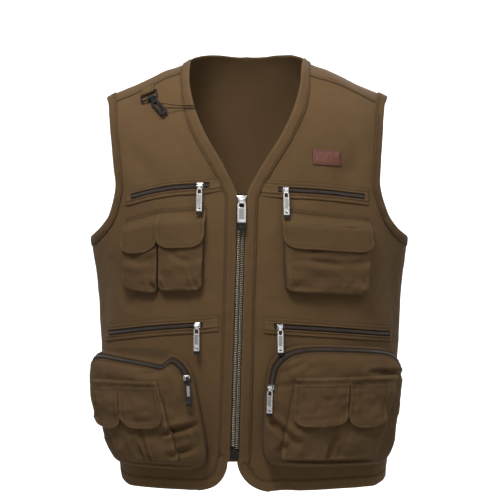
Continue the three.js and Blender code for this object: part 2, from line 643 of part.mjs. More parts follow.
// Pocket zips: a cloth welt with a slot, and the tape with its coil in the slot.
function zipPlaces(zip, alongs, heights) {
  return heights.map((height) => alongs.map((t) => {
    const x = lerp(zip.outer[0], zip.inner[0], t);
    const z = lerp(zip.outer[1], zip.inner[1], t);
    return placeAt(x, z + height);
  }));
}
POCKET_ZIPS.forEach((zip) => {
  const panel = `${zip.name.split('_')[0]}_front_panel`;
  const alongs = [1 - zip.weltOuter, ...steps(ZIP_SPANS), 2 - zip.weltInner];
  const heights = [-WELT_HEIGHT / 2, -ZIP_OPENING / 2, ZIP_OPENING / 2, WELT_HEIGHT / 2];
  const slot = (r, c) => r === 1 && c > 0 && c <= ZIP_SPANS;
  const welt = laidGrid(zipPlaces(zip, alongs, heights), [panel], LAYER_GAP, POCKET_WALL);
  addMesh(`${zip.name}_welt`, wallGeometry([welt], slot), 'cloth');
  const rows = [-ZIP_TAPE / 2, -ZIP_COIL / 2, ZIP_COIL / 2, ZIP_TAPE / 2];
  const coil = (r) => (r === 1 || r === 2 ? COIL_RISE : 0);
  const places = zipPlaces(zip, steps(ZIP_SPANS).map((t) => lerp(ZIP_END, 1 - ZIP_END, t)), rows);
  const tape = laidGrid(places, [panel], LAYER_GAP, TAPE_WALL, () => 0, coil);
  addMesh(`${zip.name}_zip`, wallGeometry([tape]), 'tape');
});

// Four-cornered patch of places with rounded lower corners; u runs to the wearer's left and v up.
// Each place knows the place a given share below it.
function patchPlaces(corners, columns, rows, corner, share = 0) {
  const at = (u, v) => {
    const side = (low, high) => [lerp(low[0], high[0], v), lerp(low[1], high[1], v)];
    const right = side(corners.lowRight, corners.highRight);
    const left = side(corners.lowLeft, corners.highLeft);
    return placeAt(lerp(right[0], left[0], u), lerp(right[1], left[1], u));
  };
  const low = (u) => {
    const into = clamp(1 - Math.min(u, 1 - u) / corner.across, 0, 1);
    return corner.up * (1 - Math.sqrt(1 - into * into));
  };
  const raised = (u, v) => at(u, lerp(low(u), 1, v));
  return rows.map((v) => columns.map((u) => (
    { ...raised(u, v), u, v, near: [raised(u, Math.max(v - share, 0))] }
  )));
}

// Bellows pockets: they stand off the panel at the sides and below, and are open above.
const POCKET_COLUMNS = [0, 0.03, 0.1, 0.3, 0.5, 0.7, 0.9, 0.97, 1];
const POCKET_ROWS = [0, 0.03, 0.1, 0.35, 0.7, 1];
const POCKET_CORNER = { across: 0.12, up: 0.07 };
const POCKET_RISES = [
  { into: 0, rise: 0 },
  { into: 0.03, rise: 0.55 },
  { into: 0.1, rise: 0.85 },
  { into: 0.3, rise: 1 },
  { into: 1, rise: 1 },
];
const MOUTH_RISE = 0.62; // the mouth stands off less than the bag
const pocketRise = (into) => curve(POCKET_RISES, 'into', 'rise', into);
const bellows = ({ u, v }) => (
  pocketRise(Math.min(u, 1 - u)) * pocketRise(v) * lerp(1, MOUTH_RISE, v * v)
);
CHEST_POCKETS.forEach((pocket) => {
  const panel = `${pocket.name.split('_')[0]}_front_panel`;
  const places = patchPlaces(pocket, POCKET_COLUMNS, POCKET_ROWS, POCKET_CORNER);
  const bulge = (place) => pocket.depth * bellows(place);
  const laid = laidGrid(places, [panel], LAYER_GAP, POCKET_WALL, bulge);
  addMesh(`${pocket.name}_pocket`, wallGeometry([laid]), 'cloth');
});

// Flaps hang from their stitched top edge over the pocket.
const FLAP_COLUMNS = [0, 0.09, 0.25, 0.5, 0.75, 0.91, 1];
const FLAP_ROWS = [0, 0.2, 0.45, 0.76, 0.9, 1];
const FLAP_SHARE = 0.1; // it starts to rise this share of its height above the pocket's mouth
const FLAP_CORNER = { across: 0.22, up: 0.16 };
CHEST_FLAPS.forEach((flap) => {
  const side = flap.name.split('_')[0];
  const below = [`${side}_front_panel`, `${side}_chest_welt`, `${flap.name}_pocket`];
  const places = patchPlaces(flap, FLAP_COLUMNS, FLAP_ROWS, FLAP_CORNER, FLAP_SHARE);
  addMesh(`${flap.name}_flap`, wallGeometry([laidGrid(places, below, PILE_GAP, POCKET_WALL)]), 'cloth');
});

// Cargo bags: rings of a rounded outline, each lifted further off the panel.
function bagPlace(bag, u, v) {
  const across = (1 + u * bag.inward) / 2;
  const low = lerp(bag.low[0], bag.low[1], across);
  const high = lerp(bag.high[0], bag.high[1], across);
  const up = (1 + v) / 2;
  const bottom = lerp(bag.bottom[0], bag.bottom[1], across);
  const top = lerp(bag.top[0], bag.top[1], across);
  return placeTurned(radians(lerp(low, high, up)), lerp(bottom, top, up));
}
function bagRing(bag, ring, angle, share = ring.share) {
  const [c, s] = [Math.cos(angle), Math.sin(angle)];
  const power = BAG_CORNER_POWER;
  const reach = share * (Math.abs(c) ** power + Math.abs(s) ** power) ** (-1 / power);
  const steep = clamp(BAG_STEEP.level - BAG_STEEP.below * s + BAG_STEEP.outer * Math.max(-c, 0), 0, 1);
  const off = (reach * c - BAG_SAG.at) / BAG_SAG.width;
  const sag = bag.sag * Math.exp(-off * off) * Math.max(s * reach, 0) ** 4;
  const drop = ring === BAG_RINGS[0] ? 0 : (2 * sag) / (bag.top[0] - bag.bottom[0]);
  const place = bagPlace(bag, reach * c, reach * s - drop);
  const rest = ring === BAG_RINGS[0] ? restingLift(place, [`${bag.name}_front_panel`]) : PANEL_WALL;
  return clothPoint(place, rest + lerp(ring.atTop, ring.atBottom, steep));
}
const bagAngles = steps(BAG_SECTORS).map((t) => 2 * Math.PI * t);
const bagGrid = (bag) => BAG_RINGS.map((ring) => bagAngles.map((angle) => bagRing(bag, ring, angle)));

// Thickens a grid of points along the normals of its own facets.
const KEY_PER_MILLIMETRE = 50;
function thickened(points, wall, outward) {
  const flat = new THREE.BufferGeometry();
  const index = [];
  const columns = points[0].length;
  for (let r = 0; r + 1 < points.length; r += 1) {
    for (let c = 0; c + 1 < columns; c += 1) {
      const a = r * columns + c;
      index.push(a, a + 1, a + columns + 1, a, a + columns + 1, a + columns);
    }
  }
  flat.setFromPoints(points.flat()).setIndex(index);
  const welded = mergeVertices(flat, 1e-3);
  welded.computeVertexNormals();
  const known = new Map();
  const key = (point) => point.toArray().map((v) => Math.round(Math.fround(v) * KEY_PER_MILLIMETRE)).join();
  const { position, normal } = welded.attributes;
  for (let k = 0; k < position.count; k += 1) {
    const corner = new THREE.Vector3().fromBufferAttribute(position, k);
    known.set(key(corner), new THREE.Vector3().fromBufferAttribute(normal, k));
  }
  const normalAt = (point) => known.get(key(point));
  const sign = normalAt(points[points.length - 1][0]).dot(outward) < 0 ? -1 : 1;
  return points.map((row) => row.map((outer) => (
    { outer, inner: outer.clone().addScaledVector(normalAt(outer), -sign * wall) }
  )));
}

const bagMiddle = (bag) => formNormal(bagPlace(bag, 0, 0));
CARGO_BAGS.forEach((bag) => {
  const grid = thickened(bagGrid(bag), POCKET_WALL, bagMiddle(bag));
  bagAngles.forEach((angle, k) => {
    grid[0][k].inner = bagRing(bag, BAG_RINGS[0], angle, BAG_EDGE_SHARE);
  });
  const slot = (r, c) => r === BAG_ZIP_RINGS[0] && c >= bag.zip[0] && c < bag.zip[1];
  addMesh(`${bag.name}_cargo_bag`, wallGeometry([grid], slot), 'cloth');
  const between = (a, b, t) => (
    { inner: a.inner.clone().lerp(b.inner, t), outer: a.outer.clone().lerp(b.outer, t) }
  );
  const [outerRing, innerRing] = BAG_ZIP_RINGS.map((ring) => grid[ring].slice(bag.zip[0], bag.zip[1] + 1));
  const tape = BAG_TAPE_SHARES.map((t) => outerRing.map((point, k) => between(point, innerRing[k], t)));
  tape.forEach((row) => {
    row[0] = between(row[0], row[1], BAG_ZIP_CLEAR);
    row[row.length - 1] = between(row[row.length - 1], row[row.length - 2], BAG_ZIP_CLEAR);
  });
  addMesh(`${bag.name}_cargo_zip`, wallGeometry([tape]), 'tape');
});

// Patch pockets and flaps on the front of each bag.
const PATCH_COLUMNS = [0, 0.04, 0.14, 0.28, 0.42, 0.5, 0.58, 0.72, 0.86, 0.96, 1];
const PATCH_ROWS = [0, 0.05, 0.14, 0.34, 0.65, 1];
const PATCH_CORNER = { across: 0.1, up: 0.06 };
const PLEAT = { at: 0.5, width: 0.06, depth: 0.55 }; // the patch is pinched between its two pockets
const turnedCorners = ({ low, high, bottom, top }) => {
  const corner = (degrees, z) => [middle(z) + halfWidth(z) * Math.sin(radians(degrees)), z];
  return {
    lowRight: corner(low[0], bottom),
    lowLeft: corner(low[1], bottom),
    highRight: corner(high[0], top),
    highLeft: corner(high[1], top),
  };
};
PATCHES.forEach((patch) => {
  const bag = `${patch.name}_cargo_bag`;
  const pinch = ({ u, v }) => 1 - PLEAT.depth * Math.exp(-(((u - PLEAT.at) / PLEAT.width) ** 2)) * (1 - v);
  const bulge = (place) => pinch(place) * bellows(place) * patch.depth;
  const places = patchPlaces(turnedCorners(patch), PATCH_COLUMNS, PATCH_ROWS, PATCH_CORNER);
  const laid = laidGrid(places, [bag], LAYER_GAP, POCKET_WALL, bulge);
  addMesh(`${patch.name}_cargo_patch_pocket`, wallGeometry([laid]), 'cloth');
});
PATCH_FLAPS.forEach((flap) => {
  const below = [`${flap.bag}_cargo_bag`, `${flap.bag}_cargo_patch_pocket`];
  const places = patchPlaces(turnedCorners(flap), FLAP_COLUMNS, FLAP_ROWS, FLAP_CORNER);
  const laid = laidGrid(places, below, PILE_GAP, POCKET_WALL);
  addMesh(`${flap.bag}_cargo_${flap.name}_flap`, wallGeometry([laid]), 'cloth');
});

// Frame standing on a face: x level along it, -y out of it, z up it.
function frameAt(point, out, roll = 0) {
  const up = new THREE.Vector3(0, 0, 1).addScaledVector(out, -out.z).normalize();
  const into = out.clone().negate();
  const frame = new THREE.Group();
  frame.applyMatrix4(new THREE.Matrix4().makeBasis(into.clone().cross(up), into, up));
  frame.rotateY(radians(roll));
  frame.position.copy(point);
  group.add(frame);
  return frame;
}
const clothFrame = (place, lift, roll) => frameAt(clothPoint(place, lift), formNormal(place), roll);

// Joining and cutting solids
function solidOf(geometry) {
  const bare = geometry.clone();
  const extras = Object.keys(bare.attributes).filter((key) => key !== 'position');
  extras.forEach((key) => bare.deleteAttribute(key));
  const merged = mergeVertices(bare, 1e-4);
  return new wasm.Manifold(new wasm.Mesh({
    numProp: 3,
    vertProperties: new Float32Array(merged.attributes.position.array),
    triVerts: new Uint32Array(merged.index.array),
  }));
}
function geometryOf(solid) {
  const mesh = solid.getMesh();
  return new THREE.BufferGeometry()
    .setAttribute('position', new THREE.BufferAttribute(mesh.vertProperties, 3))
    .setIndex(new THREE.BufferAttribute(mesh.triVerts, 1));
}
const joined = (...geometries) => geometries.map(solidOf).reduce((a, b) => a.add(b));
const block = (w, d, h, x, y, z) => new THREE.BoxGeometry(w, d, h).translate(x, y, z);
const ROUND_SIDES = 8;
const rodAlongX = (radius, length, x, y, z) => (
  new THREE.CylinderGeometry(radius, radius, length, ROUND_SIDES).rotateZ(Math.PI / 2).translate(x, y, z)
);
// Short tube along x, centred on the frame's origin.
function sleeveGeometry(radius, hole, length) {
  const shape = new THREE.Shape().absarc(0, 0, radius, 0, 2 * Math.PI);
  shape.holes = [new THREE.Path().absarc(0, 0, hole, 0, 2 * Math.PI, true)];
  const options = { depth: length, bevelEnabled: false, curveSegments: ROUND_SIDES / 2 };
  return new THREE.ExtrudeGeometry(shape, options).rotateY(Math.PI / 2).translate(-length / 2, 0, 0);
}
// Outline in the frame's x and z, with its thickness from y = 0 out to -thick.
function plateOf(outline, thick, holes = []) {
  const shape = new THREE.Shape(outline.map(([x, z]) => new THREE.Vector2(x, z)));
  shape.holes = holes.map((hole) => new THREE.Path(hole.map(([x, z]) => new THREE.Vector2(x, z))));
  return new THREE.ExtrudeGeometry(shape, { depth: thick, bevelEnabled: false }).rotateX(Math.PI / 2);
}

// Slider with two ears and the rod that its pull turns on; its underside is at the frame's origin.
function sliderGeometry({ along, thick, tall, crown }) {
  const half = along / 2;
  const top = tall / 2;
  const cut = SLIDER_CORNER;
  const body = plateOf([
    [-half + cut, -top], [half - cut, -top], [half, cut - top], [half, cut],
    [half + crown, top - cut], [half + crown - cut, top], [cut - half - crown, top],
    [-half - crown, top - cut], [-half, cut], [-half, cut - top],
  ], thick);
  const earX = KNUCKLE.along / 2 + EAR.clear + EAR.thick / 2;
  const earDepth = ROD_UP + EAR.half;
  const earY = JOIN_SINK - thick - earDepth / 2;
  const ears = [-earX, earX].map((x) => block(EAR.thick, earDepth, 2 * EAR.half, x, earY, 0));
  const rod = rodAlongX(ROD_RADIUS, 2 * earX, 0, -thick - ROD_UP, 0);
  return geometryOf(joined(body, ...ears, rod));
}

// Pull: a knuckle on the rod, a narrow neck, and a plate with a window, a raised panel and a notched end.
function pullGeometry({ width, length }) {
  const half = width / 2;
  const neck = KNUCKLE.along / 2;
  const shoulder = -PULL.start - PULL.shoulder;
  const cut = PULL.corner;
  const notch = half * PULL.notchShare;
  const knuckle = sleeveGeometry(KNUCKLE.outer, KNUCKLE.inner, KNUCKLE.along);
  const neckTop = -KNUCKLE.inner - JOIN_SINK;
  const neckLow = -PULL.start - JOIN_SINK;
  const link = block(KNUCKLE.along, PULL.thick, neckTop - neckLow, 0, 0, (neckTop + neckLow) / 2);
  const windowHalf = neck - PULL_WINDOW.side;
  const plate = plateOf([
    [-neck, -PULL.start], [-half, shoulder], [-half, cut - length], [cut - half, -length],
    [-notch, -length], [0, PULL.notch - length], [notch, -length],
    [half - cut, -length], [half, cut - length], [half, shoulder], [neck, -PULL.start],
  ], PULL.thick, [[
    [-windowHalf, -PULL_WINDOW.top], [-windowHalf, -PULL_WINDOW.low],
    [windowHalf, -PULL_WINDOW.low], [windowHalf, -PULL_WINDOW.top],
  ]]).translate(0, PULL.thick / 2, 0);
  const panelLength = length * PULL_PANEL.lengthShare;
  const panelY = -PULL.thick / 2 - PULL_PANEL.rise / 2 + JOIN_SINK / 2;
  const panelZ = -PULL_PANEL.top - panelLength / 2;
  const panelWidth = width * PULL_PANEL.widthShare;
  const panel = block(panelWidth, PULL_PANEL.rise + JOIN_SINK, panelLength, 0, panelY, panelZ);
  return geometryOf(joined(knuckle, link, plate, panel));
}

function addSlider(name, frame, slider, pull, hang = 0) {
  addMesh(`${name}_slider`, sliderGeometry(slider), 'metal', frame);
  const hinge = new THREE.Group();
  hinge.name = `${name}_hinge`;
  hinge.position.set(0, -slider.thick - ROD_UP, 0);
  hinge.rotation.x = -radians(hang);
  frame.add(hinge);
  addMesh(`${name}_pull`, pullGeometry(pull), 'metal', hinge);
}

POCKET_ZIPS.forEach((zip) => {
  const place = zipPlaces(zip, [zip.slider], [0])[0][0];
  const lift = restingLift(place, [`${zip.name}_zip`]) + LAYER_GAP;
  addSlider(zip.name, clothFrame(place, lift), POCKET_SLIDER, POCKET_PULL, zip.hang);
});

// Front zip: each half has its tape under the panel's edge and its teeth in the gap between the panels.
[['right', -1], ['left', 1]].forEach(([side, sign]) => {
  const grid = steps(CHAIN_ROWS).map((t) => {
    const z = lerp(CHAIN_BOTTOM_Z, CHAIN_TOP_Z, t);
    return CHAIN_COLUMNS.map(({ off, over }) => {
      const place = placeAt(centre(z) + sign * off, z);
      return { inner: clothPoint(place, -TAPE_UNDER), outer: clothPoint(place, over) };
    });
  });
  addMesh(`front_zip_${side}_half`, wallGeometry([grid]), 'brass');
});
const boxPlace = placeAt(centre(CHAIN_BOTTOM_Z), CHAIN_BOTTOM_Z - FRONT_BOX.height / 2 - LAYER_GAP);
const boxGeometry = block(FRONT_BOX.width, FRONT_BOX.depth, FRONT_BOX.height, 0, 0, 0);
addMesh('front_zip_box', boxGeometry, 'plastic', clothFrame(boxPlace, FRONT_BOX.lift));
const frontSliderZ = CHAIN_TOP_Z - FRONT_SLIDER.tall * FRONT_SLIDER_DOWN;
const frontSliderPlace = placeAt(centre(frontSliderZ), frontSliderZ);
addSlider('front', clothFrame(frontSliderPlace, CHAIN_RISE + FRONT_SLIDER_GAP), FRONT_SLIDER, FRONT_PULL);

// Cargo sliders stand on the inner end of the curved zips.
CARGO_BAGS.forEach((bag) => {
  const rings = BAG_ZIP_RINGS.map((ring) => bagGrid(bag)[ring].slice(bag.zip[0], bag.zip[0] + 2));
  const [low, high] = rings[0].map((point, k) => point.clone().lerp(rings[1][k], 0.5));
  const acrossTape = rings[1][0].clone().sub(rings[0][0]);
  const out = high.clone().sub(low).cross(acrossTape).normalize();
  if (out.dot(bagMiddle(bag)) < 0) out.negate();
  const point = low.clone().lerp(high, BAG_SLIDER_SHARE).addScaledVector(out, BAG_SLIDER_GAP);
  addSlider(`${bag.name}_cargo`, frameAt(point, out), POCKET_SLIDER, POCKET_PULL);
});

// Round bar along a path, closed into a ring or capped at both ends.
const BAR_ASIDE = new THREE.Vector3(0.31, 0.86, 0.4); // no bar runs this way
function barGeometry(path, radius, sides, closed) {
  const last = path.length - 1;
  const rings = path.map((point, k) => {
    const before = path[closed ? (k + last) % path.length : Math.max(k - 1, 0)];
    const after = path[closed ? (k + 1) % path.length : Math.min(k + 1, last)];
    const along = after.clone().sub(before).normalize();
    const side = BAR_ASIDE.clone().cross(along).normalize();
    const up = along.clone().cross(side);
    return steps(sides).slice(1).map((t) => {
      const [c, s] = [radius * Math.cos(2 * Math.PI * t), radius * Math.sin(2 * Math.PI * t)];
      return point.clone().addScaledVector(side, c).addScaledVector(up, s);
    });
  });
  const index = [];
  const spans = closed ? path.length : last;
  for (let r = 0; r < spans; r += 1) {
    for (let c = 0; c < sides; c += 1) {
      const next = (c + 1) % sides;
      const here = r * sides;
      const there = ((r + 1) % path.length) * sides;
      index.push(here + c, here + next, there + next, here + c, there + next, there + c);
    }
  }
  if (!closed) {
    for (let c = 1; c + 1 < sides; c += 1) {
      index.push(0, c + 1, c, last * sides, last * sides + c, last * sides + c + 1);
    }
  }
  return new THREE.BufferGeometry().setFromPoints(rings.flat()).setIndex(index);
}

// Shoulder tab: a folded strip of cloth that holds the ring, on which the hook hangs.
const tabFrame = clothFrame(placeAt(TAB.x, TAB.z), PANEL_WALL + TAB.clear, TAB.roll);
const foldOuter = TAB.fold / 2 + TAB.cloth;
const barZ = foldOuter - TAB.length;
const arc = (radius, turns) => turns.map((turn) => (
  [foldOuter - radius * Math.cos(radians(turn)), barZ - radius * Math.sin(radians(turn))]
));
const turns = [0, 45, 90, 135, 180];
const foldOutline = [
  [0, 0], ...arc(foldOuter, turns), [2 * foldOuter, 0], [2 * foldOuter - TAB.cloth, 0],
  ...arc(TAB.fold / 2, [...turns].reverse()), [TAB.cloth, 0],
];
const foldShape = new THREE.Shape(foldOutline.map(([out, z]) => new THREE.Vector2(out, z)));
const [outWay, upWay, sideWay] = [[0, -1, 0], [0, 0, 1], [-1, 0, 0]].map((way) => new THREE.Vector3(...way));
const foldGeometry = new THREE.ExtrudeGeometry(foldShape, { depth: TAB.width, bevelEnabled: false })
  .applyMatrix4(new THREE.Matrix4().makeBasis(outWay, upWay, sideWay)).translate(TAB.width / 2, 0, 0);
addMesh('shoulder_tab', foldGeometry, 'cloth', tabFrame);

const ringCorner = (x, z, from) => [0, 45, 90].map((turn) => {
  const angle = radians(from + turn);
  return new THREE.Vector3(x + RING.corner * Math.cos(angle), 0, z + RING.corner * Math.sin(angle));
});
const ringFrame = new THREE.Group();
ringFrame.position.set(0, -foldOuter, barZ);
ringFrame.rotation.x = radians(RING.droop);
tabFrame.add(ringFrame);
const [ringX, ringLow] = [RING.width / 2 - RING.corner, RING.corner - RING.height];
addMesh('shoulder_ring', barGeometry([
  ...ringCorner(ringX, -RING.corner, 0), ...ringCorner(-ringX, -RING.corner, 90),
  ...ringCorner(-ringX, ringLow, 180), ...ringCorner(ringX, ringLow, 270),
], RING.wire, ROUND_SIDES, true), 'plastic', ringFrame);

// Hook: a sleeve round the ring's lower bar, and a flat loop below it.
const hookFrame = new THREE.Group();
hookFrame.position.set(HOOK.x, 0, -RING.height);
hookFrame.rotation.x = radians(HOOK.droop);
ringFrame.add(hookFrame);
const sleeve = sleeveGeometry(HOOK_SLEEVE.radius, HOOK_SLEEVE.hole, HOOK_SLEEVE.length);
const hookHalf = HOOK.width / 2;
const hookTip = hookHalf * HOOK_TIP.share;
const hookPlate = plateOf([
  [-HOOK_NECK.half, 0], [-HOOK_NECK.half, -HOOK_NECK.low], [-hookHalf, -HOOK_NECK.shoulder],
  [-hookHalf, hookHalf - HOOK.length], [-hookTip, HOOK_TIP.up - HOOK.length], [0, -HOOK.length],
  [hookTip, HOOK_TIP.up - HOOK.length], [hookHalf, hookHalf - HOOK.length],
  [hookHalf, -HOOK_NECK.shoulder], [HOOK_NECK.half, -HOOK_NECK.low], [HOOK_NECK.half, 0],
], HOOK.thick, [[
  [-HOOK_SLOT.half, -HOOK_SLOT.top], [HOOK_SLOT.half, -HOOK_SLOT.top],
  [HOOK_SLOT.half, HOOK_SLOT.low - HOOK.length], [-HOOK_SLOT.half, HOOK_SLOT.low - HOOK.length],
]]).translate(0, HOOK.thick / 2, -HOOK.seat).rotateY(radians(HOOK.turn));
addMesh('shoulder_hook', geometryOf(joined(sleeve, hookPlate)), 'plastic', hookFrame);

// Thin cord: from behind the neck edge, round the end of the hook's loop and back behind the neck edge.
hookFrame.updateWorldMatrix(true, false);
const hookTurn = new THREE.Matrix4().makeRotationY(radians(HOOK.turn));
const hookFace = HOOK.thick / 2 + CORD_RADIUS + PILE_GAP;
const hookEnd = HOOK.length + HOOK.seat;
const cordRound = CORD_ROUND.map(({ side, up }) => new THREE.Vector3(0, side * hookFace, up - hookEnd)
  .applyMatrix4(hookTurn).applyMatrix4(hookFrame.matrixWorld));
function cordOverEdge(z) {
  const edgeX = centre(z) - neckX(z);
  return CORD_EDGE.map(({ into, lift, over }) => {
    const place = placeAt(edgeX - into, z);
    return clothPoint(place, over ? restingLift(place, ['neck_band', 'right_front_panel']) + over : lift);
  });
}
const cordPath = new THREE.CatmullRomCurve3(
  [...cordOverEdge(CORD.upperZ), ...cordRound, ...cordOverEdge(CORD.lowerZ).reverse()], false, 'chordal',
).getPoints(CORD.spans);
addMesh('hook_cord', barGeometry(cordPath, CORD_RADIUS, ROUND_SIDES, false), 'tape');

// Leather patch on the left chest
const leatherCorner = (u, v) => {
  const [across, up] = [(u * LEATHER.width) / 2, (v * LEATHER.height) / 2];
  const lean = Math.sin(radians(LEATHER.tilt));
  return [LEATHER.x + across + up * lean, LEATHER.z + up + across * lean];
};
const leatherPlaces = patchPlaces({
  lowRight: leatherCorner(-1, -1),
  lowLeft: leatherCorner(1, -1),
  highRight: leatherCorner(-1, 1),
  highLeft: leatherCorner(1, 1),
}, steps(4), steps(2), LEATHER_CORNER);
const leatherWall = laidGrid(leatherPlaces, ['left_front_panel'], LAYER_GAP, LEATHER.thick);
addMesh('leather_patch', wallGeometry([leatherWall]), 'leather');

export default group;
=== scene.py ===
# %% [markdown]
# # An outdoor vest of brown canvas
# The vest is sewn from washed cotton canvas, worn open at the neck, with zips, bellows pockets and two
# cargo bags. Every piece is laid on one base form, the smooth surface that also shaped the solid model, so
# each layer of cloth knows what lies below it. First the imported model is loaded; it fixes the frame, in
# metres, with +Z up and the front towards -Y.

# %% Load the frame
import json

import bmesh
import bpy
import numpy as np
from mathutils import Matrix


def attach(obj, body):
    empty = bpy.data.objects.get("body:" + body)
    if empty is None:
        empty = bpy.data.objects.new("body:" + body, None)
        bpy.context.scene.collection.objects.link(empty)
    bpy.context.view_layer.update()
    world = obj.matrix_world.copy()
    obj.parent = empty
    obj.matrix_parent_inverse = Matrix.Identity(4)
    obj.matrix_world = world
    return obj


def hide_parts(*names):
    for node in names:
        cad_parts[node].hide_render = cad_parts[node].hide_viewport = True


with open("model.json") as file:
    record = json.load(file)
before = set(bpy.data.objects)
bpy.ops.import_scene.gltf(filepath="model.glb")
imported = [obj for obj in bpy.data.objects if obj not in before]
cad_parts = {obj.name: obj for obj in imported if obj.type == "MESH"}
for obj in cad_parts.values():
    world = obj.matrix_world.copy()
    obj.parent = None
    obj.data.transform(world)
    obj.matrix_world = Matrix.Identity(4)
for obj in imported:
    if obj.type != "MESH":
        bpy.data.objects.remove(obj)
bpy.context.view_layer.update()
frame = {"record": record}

MM = 0.001
joints = {joint["name"]: joint for joint in frame["record"]["behaviour"]["joints"]}
print("joints:", sorted(joints))

# %% [markdown]
# ## The base form
# A vest that is worn is full and round. Its base form is given by short tables: half width and depths at a
# few heights, and the line of the shoulders seen from the front. Smooth curves run through the rows. A
# place on it is a pair of turns: phi goes from the centre line to the side seam, psi climbs from the chest
# over the shoulder ridge and down the back.

# %% Tables of the form, in millimetres
CHEST_Z, ARMPIT_Z, HEM_Z, BACK_HEM_Z = -150.0, -253.0, -634.0, -615.0
RIDGE_Y = 6.0
BODY = np.array([  # height, half width, front, back, middle
    (-660, 198, 94, 97, 10),
    (-560, 212, 107, 100, 8),
    (-480, 224, 115, 100, 5),
    (-400, 231, 120, 102, 4),
    (-330, 235, 123, 108, 4),
    (-253, 243, 125, 114, 4),
    (-180, 240, 124, 117, 1),
    (-150, 238, 123, 118, 0),
    (-100, 236, 120, 118, 0),
    (60, 230, 114, 116, 0),
], float)
HALF, FRONT, BACK, MIDDLE = 1, 2, 3, 4
SMALL_TURN = 1e-3
SHOULDER_LINE = np.array([  # distance from the middle, height
    (0, 66), (40, 60), (66, 46), (80, 33), (92, 19), (128, 4), (165, -13), (200, -27), (222, -38), (250, -52),
], float)
CENTRE_LINE = np.array([  # height, x of the leaning centre line
    (-640, -20), (-575, -18), (-183, -7), (0, -2), (40, 0),
], float)
NECKLINE = np.array([  # height, distance of the front edge from the centre line
    (-640, 8), (-196, 8), (-183, 11.5), (-165, 20.5), (-142, 33), (-104, 56), (-66, 73), (-28, 83), (6, 87),
    (30, 88),
], float)
ARMHOLE = np.array([  # height, distance from the middle in front and at the back
    (-253, 243, 243), (-247, 234.5, 236), (-238, 224.5, 228), (-222, 212.5, 217), (-200, 204, 209),
    (-175, 198.5, 205), (-150, 200, 206), (-120, 202.5, 207), (-90, 206, 209), (-50, 211.5, 212.5),
    (-36, 217, 217),
], float)
FOLDS = np.array([  # 1 behind, turn at the top and bottom, top, bottom, width in degrees, depth
    (0, -13, -14, -395, -800, 4, 4),
    (0, -19, -21, -410, -800, 4, -4),
    (0, 5, 8, -395, -800, 4, 4),
    (0, 13, 15, -410, -800, 4, -3),
    (0, -70, -76, -240, -430, 8, -5),
    (0, 68, 76, -240, -430, 8, -5),
    (0, -52, -30, -95, -200, 7, -3),
    (0, 52, 34, -95, -200, 7, -3),
    (1, -30, -38, -90, -900, 9, 5),
    (1, 26, 34, -90, -900, 9, 5),
    (1, 2, -4, -200, -900, 10, -4),
], float)

# %% Functions of the form
def lerp(a, b, t):
    """Value at a share t of the way from a to b."""
    return a + (b - a) * t


def unit(vectors):
    """Vectors divided by their own length."""
    return vectors / np.linalg.norm(vectors, axis=-1, keepdims=True)


def curve(rows, column, at):
    """Cubic pieces through a table: each row's slope is that of the line between its neighbours, and past
    the ends the value stays."""
    where, value = rows[:, 0], rows[:, column]
    step = np.arange(len(rows))
    low, high = np.maximum(step - 1, 0), np.minimum(step + 1, len(rows) - 1)
    slope = (value[high] - value[low]) / (where[high] - where[low])
    at = np.clip(at, where[0], where[-1])
    i = np.clip(np.searchsorted(where, at) - 1, 0, len(rows) - 2)
    span, rise = where[i + 1] - where[i], value[i + 1] - value[i]
    t = (at - where[i]) / span
    a, b = slope[i] * span - rise, rise - slope[i + 1] * span
    return value[i] + t * rise + t * (1 - t) * (a * (1 - t) + b * t)


def body(column, z):
    """A column of the body table at height z."""
    return curve(BODY, column, z)


def climb(x):
    """Height of the shoulder line over the chest, at x from the middle."""
    return curve(SHOULDER_LINE, 1, np.abs(x)) - CHEST_Z


def place_at(x, z, behind=False):
    """Turns (phi, psi) of the place that is seen from the front at x and z."""
    phi = np.arcsin(np.clip((x - body(MIDDLE, z)) / body(HALF, z), -1, 1))
    up = (z - CHEST_Z) / climb(x)
    psi = np.where(up > 0, np.arcsin(np.clip(up, 0, 1)), up)
    return phi, np.pi - psi if behind else psi


def place_turned(phi, z, behind=False):
    """Turns of the place at a turn phi and a height z."""
    return place_at(body(MIDDLE, z) + body(HALF, z) * np.sin(phi), z, behind)


def form_point(phi, psi):
    """Point of the bare form: x is the half width times sin(phi), y the depth times cos(phi), drawn together
    towards the shoulder ridge as psi climbs, and z rises by the shoulder line times sin(psi)."""
    phi, psi = np.broadcast_arrays(np.asarray(phi, float), np.asarray(psi, float))
    dome = (psi > 0) & (psi < np.pi)
    height = np.where(dome, np.sin(psi), np.minimum(psi, np.pi - psi))
    x = np.zeros_like(phi)
    for _ in range(5):
        z = CHEST_Z + climb(x) * height
        x = body(MIDDLE, z) + body(HALF, z) * np.sin(phi)
    reach = np.where(dome, np.abs(np.cos(psi)), 1.0)
    depth = np.where(psi < np.pi / 2, -body(FRONT, z), body(BACK, z))
    return np.stack([x, RIDGE_Y + (depth * np.cos(phi) - RIDGE_Y) * reach, z], -1)


def turned_out(normals, out):
    """Normals, each turned round where it points against the way out."""
    return normals * np.sign((normals * out).sum(-1, keepdims=True))


def form_normal(phi, psi):
    """Way out of the form: small steps along phi and psi crossed, and turned away from the middle."""
    across = form_point(phi + SMALL_TURN, psi) - form_point(phi - SMALL_TURN, psi)
    up = form_point(phi, psi + SMALL_TURN) - form_point(phi, psi - SMALL_TURN)
    normal = unit(np.cross(across, up))
    out = form_point(phi, psi)
    out = out - np.stack([0 * out[..., 0], 0 * out[..., 0] + RIDGE_Y, np.minimum(out[..., 2], CHEST_Z)], -1)
    return turned_out(normal, out)


